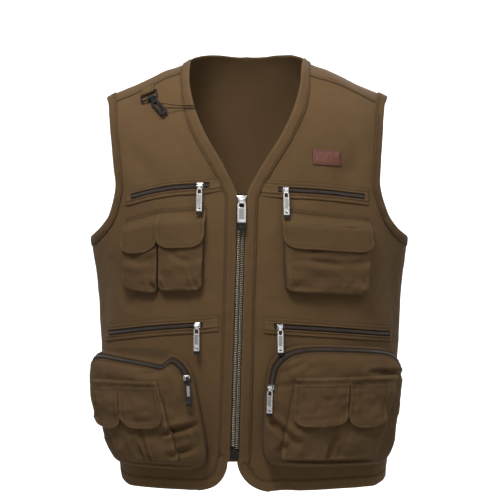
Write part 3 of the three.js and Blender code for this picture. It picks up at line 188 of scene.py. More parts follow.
def fold_height(phi, psi, z):
    """Sum of the folds: each is a bell across its line and half a sine along it."""
    behind, top_turn, low_turn, top, bottom, width, depth = FOLDS.T
    z, turn = z[..., None], np.degrees(phi)[..., None]
    t = np.clip((top - z) / (top - bottom), 0, 1)
    off = (turn - lerp(top_turn, low_turn, t)) / width
    here = (psi[..., None] >= np.pi / 2) == (behind > 0.5)
    return (here * depth * np.sin(np.pi * t) * np.exp(-off * off)).sum(-1)


def cloth_point(phi, psi, lift):
    """Point over the form: moved along the normal by its lift and by the folds there."""
    phi, psi = np.broadcast_arrays(np.asarray(phi, float), np.asarray(psi, float))
    point = form_point(phi, psi)
    rise = lift + fold_height(phi, psi, point[..., 2])
    return point + form_normal(phi, psi) * np.asarray(rise)[..., None]


def ripple(points, wave, seed, stretch=(1, 1, 1), count=10):
    """Soft uneven waves: a seeded sum of plane waves of about one length, with a spread of about 1."""
    dice = np.random.default_rng(seed)
    way = unit(dice.normal(size=(count, 3)))
    turns = 2 * np.pi / (wave * dice.uniform(0.7, 1.4, count))
    start = dice.uniform(0, 2 * np.pi, count)
    phase = (points * np.array(stretch)) @ (way * turns[:, None]).T + start
    return np.sin(phase).sum(-1) * np.sqrt(2 / count)


# %% [markdown]
# ## Slack in the cloth
# Washed canvas never lies quite flat. The body cloth gets a slow drape and small creases on top of the
# larger folds, but it is held still where something is sewn to it: along the zips, the front edges, the
# leather label and the shoulder tab. Every layer above it asks this same function where the cloth is.

# %% Body cloth over the form
PANEL_WALL = 1.4
POCKET_ZIPS = {  # ends as (x, z), outer first, slider's share, welt's reach past both ends, hang of the pull
    "right_chest": ((-174, -193), (-55, -176), 0.885, 0.07, 0.02, 5),
    "left_chest": ((176, -193), (46, -183), 0.915, 0.05, 0.07, 6),
    "right_waist": ((-211, -400), (-65, -384), 0.945, 0.04, 0.16, 3),
    "left_waist": ((217, -401), (40, -386), 0.95, 0.02, 0.08, 7),
}
STILL = [(a, b, 20) for a, b, *_ in POCKET_ZIPS.values()]  # sewn line from end to end, width held still
STILL += [((-150, -22), (-150, -60), 26), ((100, -132), (138, -132), 20), ((-75, -60), (-130, -60), 14)]
CENTRE_STILL = 24
BACK_FREE_Z, BACK_FADE = -110, 80  # the back is free below this height, held above the fade
DRAPE, DRAPE_WAVE, CREASE, CREASE_WAVE = 0.8, 95, 0.18, 24


def centre(z):
    """x of the leaning centre line at height z."""
    return curve(CENTRE_LINE, 1, z)


VALLEYS = [  # ends of a valley in the front cloth as (x, z), width, depth
    ((-48, -425), (-56, -585), 7, 1.7), ((-33, -440), (-37, -570), 6, -1.0), ((26, -410), (24, -560), 6, 1.2),
    ((186, -374), (229, -291), 9, 2.2), ((200, -352), (236, -318), 7, 1.5),
    ((-205, -291), (-176, -355), 9, 2.0), ((-214, -330), (-190, -380), 7, 1.4),
    ((-40, -352), (-58, -330), 6, 1.0), ((36, -350), (60, -362), 7, 1.0),
]


def line_distance(x, z, start, end):
    """Distance in the front view from a straight line between two points, and the share along it."""
    (ax, az), (bx, bz) = start, end
    t = np.clip(((x - ax) * (bx - ax) + (z - az) * (bz - az)) / ((bx - ax) ** 2 + (bz - az) ** 2), 0, 1)
    return np.hypot(x - lerp(ax, bx, t), z - lerp(az, bz, t)), t


def slack(points, psi):
    """Share of free cloth: 0 on a sewn line of the front, 1 well away from it."""
    x, z = points[..., 0], points[..., 2]
    free = 1 - np.exp(-(((x - centre(z)) / CENTRE_STILL) ** 2))
    for start, end, width in STILL:
        free = free * (1 - np.exp(-((line_distance(x, z, start, end)[0] / width) ** 2)))
    behind = lerp(1.0, free, np.clip((z - BACK_FREE_Z) / BACK_FADE, 0, 1))
    return np.where(psi < np.pi / 2, free, behind)


def panel_lift(phi, psi):
    """Outer face of the body cloth over the form: its thickness, a slow drape and small creases."""
    phi, psi = np.broadcast_arrays(np.asarray(phi, float), np.asarray(psi, float))
    points = form_point(phi, psi)
    drape = DRAPE * ripple(points, DRAPE_WAVE, 11, (1, 1, 0.45)) + CREASE * ripple(points, CREASE_WAVE, 12)
    for start, end, width, depth in VALLEYS:
        away = line_distance(points[..., 0], points[..., 2], start, end)[0]
        drape = drape - np.where(psi < np.pi / 2, depth * np.exp(-((away / width) ** 2)), 0)
    return PANEL_WALL + slack(points, psi) * drape


print("chest point, mm:", np.round(cloth_point(*place_at(0.0, -150.0), 0.0), 1))

# %% [markdown]
# ## Camera, light and floor
# The photograph was taken level with the middle of the vest, from well back with a long lens, on white and
# under soft light. A round cove gives the same: a pale floor that bends up into a wall with no edge to see,
# and behind the vest it glows so that it stays white. Two lamps stand high in front, a broad card fills in
# from behind the camera, and two more lamps light the shoulders and the back.

# %% Camera and meshes from arrays
SENSOR_MM, LENS_MM, CAMERA_AT = 36, 120, (0.0047, -2.6, -0.273)
camera_data = bpy.data.cameras.new("camera")
camera_data.sensor_width = SENSOR_MM
camera_data.lens = LENS_MM
camera = bpy.data.objects.new("camera", camera_data)
camera.location = CAMERA_AT
camera.rotation_euler = (np.pi / 2, 0, 0)
bpy.context.scene.collection.objects.link(camera)
bpy.context.scene.camera = camera
bpy.context.scene.view_settings.view_transform = "Standard"


def fill(rows, key, values, kind=np.float32):
    """Sets one value of many mesh elements from an array."""
    rows.foreach_set(key, np.ascontiguousarray(values, dtype=kind).ravel())


def quad_mesh(name, verts, faces, uv=None, marks=None):
    """Smooth mesh from arrays: points in metres, rows of four corners, and values per point."""
    mesh = bpy.data.meshes.new(name)
    mesh.vertices.add(len(verts))
    fill(mesh.vertices, "co", verts)
    mesh.loops.add(faces.size)
    fill(mesh.loops, "vertex_index", faces, np.int32)
    mesh.polygons.add(len(faces))
    fill(mesh.polygons, "loop_start", np.arange(0, faces.size, 4), np.int32)
    fill(mesh.polygons, "use_smooth", np.ones(len(faces)), bool)
    if uv is not None:
        fill(mesh.uv_layers.new(name="cloth").data, "uv", uv[faces.ravel()])
    for key, values in (marks or {}).items():
        fill(mesh.attributes.new(key, "FLOAT", "POINT").data, "value", values)
    mesh.update(calc_edges=True)
    return mesh


def add_object(name, mesh, material=None):
    """A mesh or curve as an object of the scene."""
    piece = bpy.data.objects.new(name, mesh)
    bpy.context.scene.collection.objects.link(piece)
    if material is not None:
        mesh.materials.append(material)
    return piece


def grid_faces(rows, columns, wrap=False, closed=False):
    """Corner numbers of a grid's cells by row; it may wrap across its columns and close over its rows."""
    index = np.arange(rows * columns).reshape(rows, columns)
    here = index if wrap else index[:, :-1]
    after = np.roll(index, -1, axis=1) if wrap else index[:, 1:]
    cells = np.stack([here, after, np.roll(after, -1, axis=0), np.roll(here, -1, axis=0)], -1)
    return cells if closed else cells[:-1]


# %% Studio
def feed(tree, socket, value):
    """Links a socket to another node's output, or sets it to a plain value."""
    if isinstance(value, bpy.types.NodeSocket):
        tree.links.new(value, socket)
    else:
        socket.default_value = value


def feed_node(tree, node, **inputs):
    """Feeds a node's named inputs; an underscore stands for a space in a name."""
    for label, value in inputs.items():
        feed(tree, node.inputs[label.replace("_", " ")], value)


def add_node(tree, kind, settings=None, **inputs):
    """New node with some settings and fed inputs."""
    node = tree.nodes.new(kind)
    for key, value in (settings or {}).items():
        setattr(node, key, value)
    feed_node(tree, node, **inputs)
    return node


def new_material(name):
    """Material with its tree and its shader."""
    material = bpy.data.materials.new(name)
    material.use_nodes = True
    return material, material.node_tree, material.node_tree.nodes["Principled BSDF"]


COVE_FLOOR, COVE_FLAT, COVE_BEND, COVE_TOP = -0.95, 4.0, 1.6, 6.0
bend = np.linspace(0, np.pi / 2, 16)
cove_r = np.concatenate([[0.0, 1.5, 3.0], COVE_FLAT + COVE_BEND * np.sin(bend), [COVE_FLAT + COVE_BEND]])
cove_z = np.concatenate([[0, 0, 0], COVE_BEND * (1 - np.cos(bend)), [COVE_TOP]]) + COVE_FLOOR
around = np.linspace(0, 2 * np.pi, 96, endpoint=False)
cove_points = np.stack(np.broadcast_arrays(
    cove_r[:, None] * np.cos(around), cove_r[:, None] * np.sin(around), cove_z[:, None]), -1).reshape(-1, 3)
cove_faces = grid_faces(len(cove_r), len(around), wrap=True).reshape(-1, 4)
paper, paper_tree, paper_shader = new_material("pale paper")
paper_place = add_node(paper_tree, "ShaderNodeTexCoord")
paper_split = add_node(paper_tree, "ShaderNodeSeparateXYZ", Vector=paper_place.outputs["Object"])
paper_glow = add_node(paper_tree, "ShaderNodeMapRange", Value=paper_split.outputs["Y"], From_Min=0.8,
                      From_Max=1.9, To_Max=0.9)
feed_node(paper_tree, paper_shader, Base_Color=(0.6, 0.6, 0.6, 1), Roughness=0.9, Emission_Color=(1, 1, 1, 1),
          Emission_Strength=paper_glow.outputs["Result"])
cove = add_object("studio_cove", quad_mesh("studio_cove", cove_points, cove_faces), paper)

world = bpy.data.worlds.new("room")
bpy.context.scene.world = world
world.use_nodes = True
feed_node(world.node_tree, world.node_tree.nodes["Background"], Color=(1.0, 1.0, 1.0, 1), Strength=0.05)
LAMPS = [  # name, place, point it looks at, size, watts
    ("key lamp", (-0.35, -1.0, 0.95), (0, 0, -0.1), 0.6, 28),
    ("fill lamp", (0.9, -1.2, 0.95), (0, 0, -0.2), 0.8, 9),
    ("front card", (0.2, -3.6, 0.1), (0, 0, -0.3), 2.4, 7),
    ("top lamp", (0.1, 0.0, 1.3), (0, 0, -0.1), 1.0, 6),
    ("back lamp", (0.5, 1.7, 1.1), (0, 0, -0.25), 0.8, 22),
]
for lamp_name, lamp_place, lamp_aim, lamp_size, watts in LAMPS:
    lamp_data = bpy.data.lights.new(lamp_name, "AREA")
    lamp_data.shape = "DISK"
    lamp_data.size = lamp_size
    lamp_data.energy = watts
    lamp = bpy.data.objects.new(lamp_name, lamp_data)
    lamp.location = lamp_place
    way = np.array(lamp_aim) - np.array(lamp_place)
    tilt = np.arctan2(np.hypot(way[0], way[1]), -way[2])
    lamp.rotation_euler = (tilt, 0, np.arctan2(-way[0], way[1]))
    bpy.context.scene.collection.objects.link(lamp)
print("cove faces:", len(cove_faces), "lamps:", len(LAMPS))

# %% [markdown]
# ## Finishes
# Canvas is two sets of yarns, one over the other, so its finish starts with a weave that follows the
# cloth's own measure in metres. Washing fades it unevenly and edges and seams rub pale, while shade is
# painted into the stitched grooves and along the sewn edges as a darker colour. Each effect is a node group
# that hands on a colour, a roughness or a height, and the material itself stays a plain shader.

# %% Node helpers
def new_group(name, takes, gives):
    """Shader group with named sockets: it takes (name, kind, value) and gives (name, kind)."""
    tree = bpy.data.node_groups.new(name, "ShaderNodeTree")
    for label, kind, value in takes:
        socket = tree.interface.new_socket(label, in_out="INPUT", socket_type=kind)
        if value is not None:
            socket.default_value = value
    for label, kind in gives:
        tree.interface.new_socket(label, in_out="OUTPUT", socket_type=kind)
    return tree, tree.nodes.new("NodeGroupInput").outputs, tree.nodes.new("NodeGroupOutput").inputs


def math_node(tree, operation, a, b):
    """Output of a sum, difference or product of two values."""
    node = add_node(tree, "ShaderNodeMath", {"operation": operation})
    feed(tree, node.inputs[0], a)
    feed(tree, node.inputs[1], b)
    return node.outputs[0]


def mix_colours(tree, share, a, b, blend="MIX"):
    """Output of a mix of two colours; the colour sockets of the node are its seventh and eighth."""
    node = add_node(tree, "ShaderNodeMix", {"data_type": "RGBA", "blend_type": blend})
    for socket, value in ((0, share), (6, a), (7, b)):
        feed(tree, node.inputs[socket], value)
    return node.outputs[2]


def noise(tree, place, scale, detail):
    """Output of a noise texture."""
    return add_node(tree, "ShaderNodeTexNoise", Vector=place, Scale=scale, Detail=detail).outputs["Fac"]


# %% Weave and washed colour
VALUE, COLOUR, VECTOR = "NodeSocketFloat", "NodeSocketColor", "NodeSocketVector"
weave, takes, gives = new_group("canvas weave", [("Measure", VECTOR, None), ("Pitch", VALUE, 450.0)],
                                [("Height", VALUE), ("Shade", VALUE)])
warp, weft = (add_node(weave, "ShaderNodeTexWave", {"bands_direction": axis}, Vector=takes["Measure"],
                       Scale=takes["Pitch"], Distortion=0.6, Detail=1.0).outputs["Fac"] for axis in "XY")
slub = noise(weave, takes["Measure"], 260.0, 3.0)
yarns = math_node(weave, "MULTIPLY", math_node(weave, "ADD", warp, weft), 0.5)
yarns = math_node(weave, "ADD", yarns, slub)
weave.links.new(yarns, gives["Height"])
weave.links.new(math_node(weave, "MULTIPLY", yarns, 0.5), gives["Shade"])

washed, takes, gives = new_group(
    "washed colour",
    [("Colour", COLOUR, None), ("Faded", COLOUR, None), ("Place", VECTOR, None), ("Seam", VALUE, 0.0),
     ("Wear", VALUE, 0.0), ("Shade", VALUE, 0.5)],
    [("Colour", COLOUR), ("Roughness", VALUE)])
broad = noise(washed, takes["Place"], 7.0, 4.0)
blotch = noise(washed, takes["Place"], 38.0, 5.0)
fleck = noise(washed, takes["Place"], 420.0, 2.0)
fade = math_node(washed, "MULTIPLY", broad, blotch)
rub = math_node(washed, "MULTIPLY", takes["Wear"], math_node(washed, "ADD", fleck, 0.1))
share = math_node(washed, "ADD", math_node(washed, "MULTIPLY", fade, 0.55), rub)
tone = mix_colours(washed, share, takes["Colour"], takes["Faded"])
# painted shade: the seam mark makes the colour darker in stitched grooves and along the sewn edges of each
# piece
dark = math_node(washed, "SUBTRACT", 1.0, math_node(washed, "MULTIPLY", takes["Seam"], 0.42))
grain = math_node(washed, "ADD", math_node(washed, "MULTIPLY", takes["Shade"], 0.28), 0.86)
level = add_node(washed, "ShaderNodeCombineColor")
for channel in level.inputs:
    feed(washed, channel, math_node(washed, "MULTIPLY", dark, grain))
washed.links.new(mix_colours(washed, 1.0, tone, level.outputs[0], "MULTIPLY"), gives["Colour"])
rough = math_node(washed, "ADD", math_node(washed, "MULTIPLY", blotch, 0.16), 0.78)
washed.links.new(rough, gives["Roughness"])
print("groups:", weave.name, "and", washed.name)

# %% Cloth materials
def bump_node(tree, height, strength, distance):
    """Normal of a surface roughened by a height."""
    bump = add_node(tree, "ShaderNodeBump", Height=height, Strength=strength, Distance=distance)
    return bump.outputs["Normal"]


def mark_node(tree, name):
    """Value of a mark that a piece's points carry."""
    return add_node(tree, "ShaderNodeAttribute", {"attribute_name": name}).outputs["Fac"]


def cloth_material(name, colour, faded, pitch=450.0, depth=0.25):
    """Woven cloth: weave along the piece's own measure, fading by place, and marks for seams and wear."""
    material, tree, shader = new_material(name)
    place = add_node(tree, "ShaderNodeTexCoord").outputs["Object"]
    measure = add_node(tree, "ShaderNodeUVMap", {"uv_map": "cloth"}).outputs["UV"]
    yarn = add_node(tree, "ShaderNodeGroup", {"node_tree": weave}, Measure=measure, Pitch=pitch)
    wash = add_node(tree, "ShaderNodeGroup", {"node_tree": washed}, Colour=colour, Faded=faded, Place=place,
                    Seam=mark_node(tree, "seam"), Wear=mark_node(tree, "wear"), Shade=yarn.outputs["Shade"])
    feed_node(tree, shader, Base_Color=wash.outputs["Colour"], Roughness=wash.outputs["Roughness"],
              Normal=bump_node(tree, yarn.outputs["Height"], depth, 0.0004), Specular_IOR_Level=0.10,
              Sheen_Weight=0.02, Sheen_Roughness=0.5)
    return material


CANVAS = cloth_material("brown canvas", (0.081, 0.047, 0.0205, 1), (0.150, 0.092, 0.043, 1))
# painted shade: pockets, flaps, bags and patches get a darker copy of the brown canvas, in place of the shade
# on them
SHADED_POCKET_CANVAS = cloth_material("pocket canvas painted darker", (0.068, 0.0395, 0.0172, 1), (0.128, 0.0785, 0.0366, 1))
BINDING = cloth_material("binding canvas", (0.075, 0.043, 0.019, 1), (0.140, 0.086, 0.040, 1))
TAPE = cloth_material("zip tape", (0.022, 0.0135, 0.0085, 1), (0.044, 0.028, 0.018, 1), 900.0, 0.4)
THREAD = cloth_material("sewing thread", (0.046, 0.026, 0.012, 1), (0.100, 0.060, 0.030, 1), 1500.0, 0.3)
CORD = cloth_material("thin cord", (0.030, 0.017, 0.010, 1), (0.060, 0.036, 0.022, 1), 1400.0, 0.6)

# %% [markdown]
# ## Metal, plastic and leather
# The sliders and pulls are cast zinc, plated bright and rubbed by hand, but the right cargo pull is
# painted dark in place of the dark reflection it shows; the front teeth are brass gone dull. Hook and ring
# are moulded black plastic. The label is a bare piece of reddish leather, darker at its edges.

# %% Hard materials
handled, takes, gives = new_group(
    "handled surface", [("Colour", COLOUR, None), ("Dull", COLOUR, None), ("Place", VECTOR, None),
                        ("Low", VALUE, 0.2), ("Spread", VALUE, 0.3)],
    [("Colour", COLOUR), ("Roughness", VALUE), ("Height", VALUE)])
smear = noise(handled, takes["Place"], 300.0, 4.0)
handled.links.new(mix_colours(handled, smear, takes["Colour"], takes["Dull"]), gives["Colour"])
spread = math_node(handled, "MULTIPLY", smear, takes["Spread"])
handled.links.new(math_node(handled, "ADD", takes["Low"], spread), gives["Roughness"])
handled.links.new(noise(handled, takes["Place"], 2200.0, 2.0), gives["Height"])


def hard_material(name, colour, dull, low, spread, metallic):
    """Moulded, cast or plated surface: two tones in smears, with a roughness from low to low plus spread."""
    material, tree, shader = new_material(name)
    place = add_node(tree, "ShaderNodeTexCoord").outputs["Object"]
    skin = add_node(tree, "ShaderNodeGroup", {"node_tree": handled}, Colour=colour, Dull=dull, Place=place,
                    Low=low, Spread=spread)
    feed_node(tree, shader, Base_Color=skin.outputs["Colour"], Roughness=skin.outputs["Roughness"],
              Normal=bump_node(tree, skin.outputs["Height"], 0.05, 0.0002), Metallic=metallic)
    return material


METAL = hard_material("plated zinc", (0.93, 0.93, 0.92, 1), (0.78, 0.78, 0.77, 1), 0.20, 0.16, 0.92)
POLISHED = hard_material("polished zinc", (0.86, 0.86, 0.85, 1), (0.62, 0.62, 0.61, 1), 0.07, 0.10, 1.0)
PANEL_METAL = hard_material("grey plate", (0.42, 0.41, 0.39, 1), (0.26, 0.26, 0.25, 1), 0.35, 0.3, 1.0)
# painted reflection: a dark copy of the plated zinc, in place of the dark surroundings that the right cargo
# pull reflects
SHADED_METAL = hard_material("zinc painted dark", (0.075, 0.073, 0.07, 1), (0.03, 0.029, 0.028, 1), 0.22, 0.2, 0.9)
BRASS = hard_material("dull brass", (0.42, 0.38, 0.29, 1), (0.120, 0.104, 0.072, 1), 0.22, 0.3, 0.9)
PLASTIC = hard_material("black plastic", (0.004, 0.004, 0.004, 1), (0.008, 0.007, 0.007, 1), 0.40, 0.2, 0.0)
feed_node(PLASTIC.node_tree, PLASTIC.node_tree.nodes["Principled BSDF"], Specular_IOR_Level=0.25)

LEATHER, leather_tree, leather_shader = new_material("reddish leather")
leather_place = add_node(leather_tree, "ShaderNodeTexCoord").outputs["Object"]
hide = add_node(leather_tree, "ShaderNodeTexVoronoi", Vector=leather_place, Scale=900.0).outputs["Distance"]
leather_tone = mix_colours(leather_tree, noise(leather_tree, leather_place, 160.0, 4.0),
                           (0.068, 0.0185, 0.0095, 1), (0.126, 0.036, 0.0185, 1))
leather_wear = mark_node(leather_tree, "wear")
leather_tone = mix_colours(leather_tree, leather_wear, leather_tone, (0.046, 0.014, 0.009, 1))
feed_node(leather_tree, leather_shader, Base_Color=leather_tone, Roughness=0.5,
          Normal=bump_node(leather_tree, hide, 0.25, 0.0003))
print("materials:", len(bpy.data.materials))

# %% [markdown]
# ## How a piece of cloth is made
# Each piece starts as one sheet of points: its outer face. The inner face lies a cloth's thickness below
# it, and a rounded rim joins the two all round, also inside a slot. The measure along the sheet is kept for
# the weave, and each point carries two marks: how near it is to a stitched groove or a sewn edge, where
# shade is painted in as a darker colour, and how much it is rubbed.

# %% Cloth maker
def normals_of(points, faces):
    """Normal at each point: the sum of the crossed diagonals of the cells that meet there."""
    a, b, c, d = (points[faces[:, k]] for k in range(4))
    facing = np.cross(c - a, d - b)
    total = np.zeros_like(points)
    for k in range(4):
        np.add.at(total, faces[:, k], facing)
    return unit(total + 1e-12)


def measure_of(grid):
    """Distance along a grid's columns and rows, in metres."""
    across = np.linalg.norm(np.diff(grid, axis=1), axis=-1)
    up = np.linalg.norm(np.diff(grid, axis=0), axis=-1)
    u = np.pad(np.cumsum(across, 1), ((0, 0), (1, 0)))
    v = np.pad(np.cumsum(up, 0), ((1, 0), (0, 0)))
    return np.stack([u - u[:, -1:] / 2, v], -1) * MM


def cloth_piece(name, grid, outward, material, node, wall, seam=0.0, wear=0.0, faces=None, uv=None):
    """Closed wall of cloth: outer points, inner ones a wall below, and a rounded rim between their edges."""
    faces = grid_faces(*grid.shape[:2]).reshape(-1, 4) if faces is None else faces
    uv = measure_of(grid) if uv is None else uv
    used, faces = np.unique(faces, return_inverse=True)
    faces = faces.reshape(-1, 4)
    points, uv = grid.reshape(-1, 3)[used], uv.reshape(-1, 2)[used]
    seam, wear = (np.clip(np.broadcast_to(mark, grid.shape[:-1]).ravel()[used], 0, 1)
                  for mark in (seam, wear))
    normals = normals_of(points, faces)
    if (normals @ np.asarray(outward, float).reshape(-1, 3).mean(0)).mean() < 0:
        faces, normals = faces[:, ::-1], -normals
    count = len(points)
    edges = np.concatenate([faces[:, [k, (k + 1) % 4]] for k in range(4)])
    rim = edges[~np.isin(edges[:, 0] * count + edges[:, 1], edges[:, 1] * count + edges[:, 0])]
    a, b = rim.T
    push = np.zeros_like(points)
    out = np.cross(points[b] - points[a], normals[a])
    np.add.at(push, a, out)
    np.add.at(push, b, out)
    rims = np.unique(rim)
    middle = points[rims] - normals[rims] * wall / 2 + unit(push[rims] + 1e-12) * wall / 2
    number = np.full(count, -1)
    number[rims] = 2 * count + np.arange(len(rims))
    sides = np.concatenate([np.stack([b, a, number[a], number[b]], -1),
                            np.stack([number[b], number[a], a + count, b + count], -1)])
    verts = np.concatenate([points, points - normals * wall, middle]) * MM
    faces = np.concatenate([faces, faces[:, ::-1] + count, sides])
    # the seam mark paints shade: a darker colour in stitched grooves and along sewn edges
    marks = {"seam": np.concatenate([seam, seam * 0, seam[rims]]),
             "wear": np.concatenate([wear, wear * 0, np.maximum(wear[rims], 0.12)])}
    mesh = quad_mesh(name, verts, faces, np.concatenate([uv, uv, uv[rims]]), marks)
    piece = add_object(name, mesh, material)
    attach(piece, "vest")
    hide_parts(node)
    return piece


LEAST_AREA = 0.31
sheet_sizes = {}


def area_of(grid):
    """Area of a grid in square metres: half the crossed diagonals of its cells."""
    a, b = grid[1:, 1:] - grid[:-1, :-1], grid[1:, :-1] - grid[:-1, 1:]
    return np.linalg.norm(np.cross(a, b), axis=-1).sum() / 2 * MM**2


def declare_sheet(piece, grid):
    """Says how large the cloth was cut: the widest row, the longest column, and the area between them."""
    across = np.linalg.norm(np.diff(grid, axis=1), axis=-1).sum(1).max() * MM
    up = np.linalg.norm(np.diff(grid, axis=0), axis=-1).sum(0).max() * MM
    area = float(np.clip(area_of(grid), LEAST_AREA * across * up, across * up))
    sheet_sizes[piece.name] = (round(float(across), 3), round(float(up), 3), round(area, 4))


# %% [markdown]
# ## Stitches and other small repeats
# A seam is a row of short threads that dip into the cloth at both ends. One thread is a bead of a few
# faces; the row is the same bead set down again and again along a path, all of it worked out in one go with
# arrays. Zip teeth and coils are made by the same function with another bead.

# %% Repeats along a path
def bead(stations, sides=4):
    """Bead along its first axis: at each station a ring with its half width and half height, lifted a bit."""
    turn = (np.arange(sides) + 0.5) * 2 * np.pi / sides
    along, half, tall, lift = np.array(stations, float).T
    ring = np.stack(np.broadcast_arrays(along[:, None], half[:, None] * np.cos(turn),
                                        lift[:, None] + tall[:, None] * np.sin(turn)), -1)
    faces = grid_faces(len(stations), sides, wrap=True).reshape(-1, 4)[:, ::-1]
    last = (len(stations) - 1) * sides
    cap = np.array([[0, k, k + 1, k + 2] for k in range(1, sides - 2, 2)])
    return ring.reshape(-1, 3), np.concatenate([faces, cap, cap[:, ::-1] + last])


def path_frames(points, normals, pitch, start=0.5):
    """Evenly spaced spots on a path, with the ways along it, across it and up."""
    length = np.concatenate([[0], np.cumsum(np.linalg.norm(np.diff(points, axis=0), axis=1))])
    count = max(int(length[-1] / pitch), 1)
    at = (np.arange(count) + start) * length[-1] / count

    def read(values, where):
        """Values at distances along the path."""
        return np.stack([np.interp(where, length, values[:, k]) for k in range(3)], -1)

    along = unit(read(points, at + 0.5) - read(points, at - 0.5) + 1e-9)
    up = read(normals, at)
    up = unit(up - along * (up * along).sum(-1, keepdims=True))
    return read(points, at), along, np.cross(up, along), up


def repeated(shape, spots, along, across, up):
    """The bead at every spot: one array of points and one of faces."""
    verts, faces = shape
    moved = (spots[:, None] + verts[None, :, :1] * along[:, None] + verts[None, :, 1:2] * across[:, None]
             + verts[None, :, 2:] * up[:, None])
    shift = (np.arange(len(spots)) * len(verts))[:, None, None]
    return moved.reshape(-1, 3), (faces[None] + shift).reshape(-1, 4)


def joined(parts):
    """Several arrays of points and faces as one."""
    starts = np.cumsum([0] + [len(verts) for verts, _ in parts[:-1]])
    return np.concatenate([v for v, _ in parts]), np.concatenate([f + s for (_, f), s in zip(parts, starts)])


STITCH = bead([(-1.3, 0.10, 0.10, -0.25), (-0.75, 0.26, 0.26, 0.05), (0.75, 0.26, 0.26, 0.05),
               (1.3, 0.10, 0.10, -0.25)])
seams = {}


def stitch_row(area, points, normals, pitch=3.3):
    """Adds a row of stitches along a line of points to the seams of an area."""
    seams.setdefault(area, []).append(repeated(STITCH, *path_frames(points, normals, pitch)))


def over_panel(height):
    """Lift of a row that lies some height over the body cloth."""
    return lambda phi, psi: panel_lift(phi, psi) + height


def sew(area, phi, psi, lift, pitch=3.3):
    """Row of stitches over places; lift is a function of the places, so the row lies on its own cloth."""
    def lifted(p, q):
        """Points of the cloth at places."""
        return cloth_point(p, q, lift(p, q))

    step = 0.004
    across = lifted(phi + step, psi) - lifted(phi - step, psi)
    up = lifted(phi, psi + step) - lifted(phi, psi - step)
    normals = turned_out(unit(np.cross(across, up)), form_normal(phi, psi))
    stitch_row(area, lifted(phi, psi), normals, pitch)


print("stitch faces:", len(STITCH[1]))

# %% [markdown]
# ## The thin cord
# A thin dark cord is looped round the plastic hook on the shoulder and goes back over the neck edge, where
# it disappears behind the binding. Its route is the one of the solid model: a smooth line through a few
# points that lie on the cloth and round the hook's end. It is the first piece to be made, because its
# length is fixed.

# %% Shoulder frames and the cord's route
def turned(axis, degrees):
    """Turn matrix about x or y."""
    c, s = np.cos(np.radians(degrees)), np.sin(np.radians(degrees))
    if axis == "x":
        return np.array([(1, 0, 0), (0, c, -s), (0, s, c)])
    return np.array([(c, 0, s), (0, 1, 0), (-s, 0, c)])


def frame_at(point, out):
    """Frame standing on a face: x level along it, -y out of it, z up it."""
    up = unit(np.array([0, 0, 1.0]) - out * out[2])
    return np.stack([np.cross(-out, up), -out, up], -1), point


def inside(outer, move, turn):
    """Frame given inside another one."""
    return outer[0] @ turn, outer[1] + outer[0] @ np.array(move, float)


def from_frame(place, points):
    """Points given in a frame, in the shared one."""
    return place[1] + np.asarray(points, float) @ place[0].T


TAB_PLACE = place_at(-150.0, -27.0)
TAB_CLOTH, TAB_FOLD, TAB_LENGTH, TAB_WIDTH = 1.2, 3.4, 17.0, 19.0
TAB_OUT = TAB_FOLD / 2 + TAB_CLOTH
tab_frame = frame_at(cloth_point(*TAB_PLACE, PANEL_WALL + 0.6), form_normal(*TAB_PLACE))
tab_frame = inside(tab_frame, (0, 0, 0), turned("y", -30))
RING_WIDTH, RING_HEIGHT, RING_WIRE, RING_CORNER = 26.0, 15.0, 1.15, 3.0
ring_frame = inside(tab_frame, (0, -TAB_OUT, TAB_OUT - TAB_LENGTH), turned("x", 8))
HOOK_LENGTH, HOOK_SEAT, HOOK_THICK, HOOK_TURN = 33.0, 2.4, 3.0, -22
hook_frame = inside(ring_frame, (3, 0, -RING_HEIGHT), turned("x", 7))
CORD_RADIUS = 0.6
BAND_TOP, BAND_WIDTH = 2.5, 17
CORD_EDGE = [(9, -2.7, 0), (2, -2.5, 0), (-2.2, 0.6, 0), (-1.9, 3.8, 0), (1.6, 1.9, 1), (10, 1.7, 1),
             (19, 4, 1)]  # in from the neck edge, lift, and 1 where the lift is over the binding
CORD_ROUND = [(-1.2, 10.5), (0, 7.6), (1, 5.4), (1, 1), (0, -1.8), (-1, -1)]


def cord_over_edge(z):
    """Points over the neck edge: how far in from it, and a lift off the form or over the binding."""
    into, lift, over = np.array(CORD_EDGE, float).T
    place = place_at(centre(z) - curve(NECKLINE, 1, z) - into, np.full(len(into), z))
    cloth = panel_lift(*place) + np.where(into < BAND_WIDTH, BAND_TOP, 0)
    return cloth_point(*place, np.where(over > 0, cloth + lift, lift))


def smooth_line(points, count=14):
    """Smooth line through points: cubic pieces whose speed follows the distance between the points."""
    p = np.array([2 * points[0] - points[1], *points, 2 * points[-1] - points[-2]])
    gap = np.linalg.norm(np.diff(p, axis=0), axis=1)[:, None]
    before, after = gap[:-1], gap[1:]
    slope = (p[1:-1] - p[:-2]) / before - (p[2:] - p[:-2]) / (before + after) + (p[2:] - p[1:-1]) / after
    t = np.linspace(0, 1, count, endpoint=False)[:, None, None]
    a, b, d = p[1:-2], p[2:-1], gap[1:-1]
    m, n = slope[:-1] * d, slope[1:] * d
    line = (2 * t**3 - 3 * t**2 + 1) * a + (t**3 - 2 * t**2 + t) * m
    line = line + (3 * t**2 - 2 * t**3) * b + (t**3 - t**2) * n
    return np.concatenate([line.transpose(1, 0, 2).reshape(-1, 3), points[-1:]])


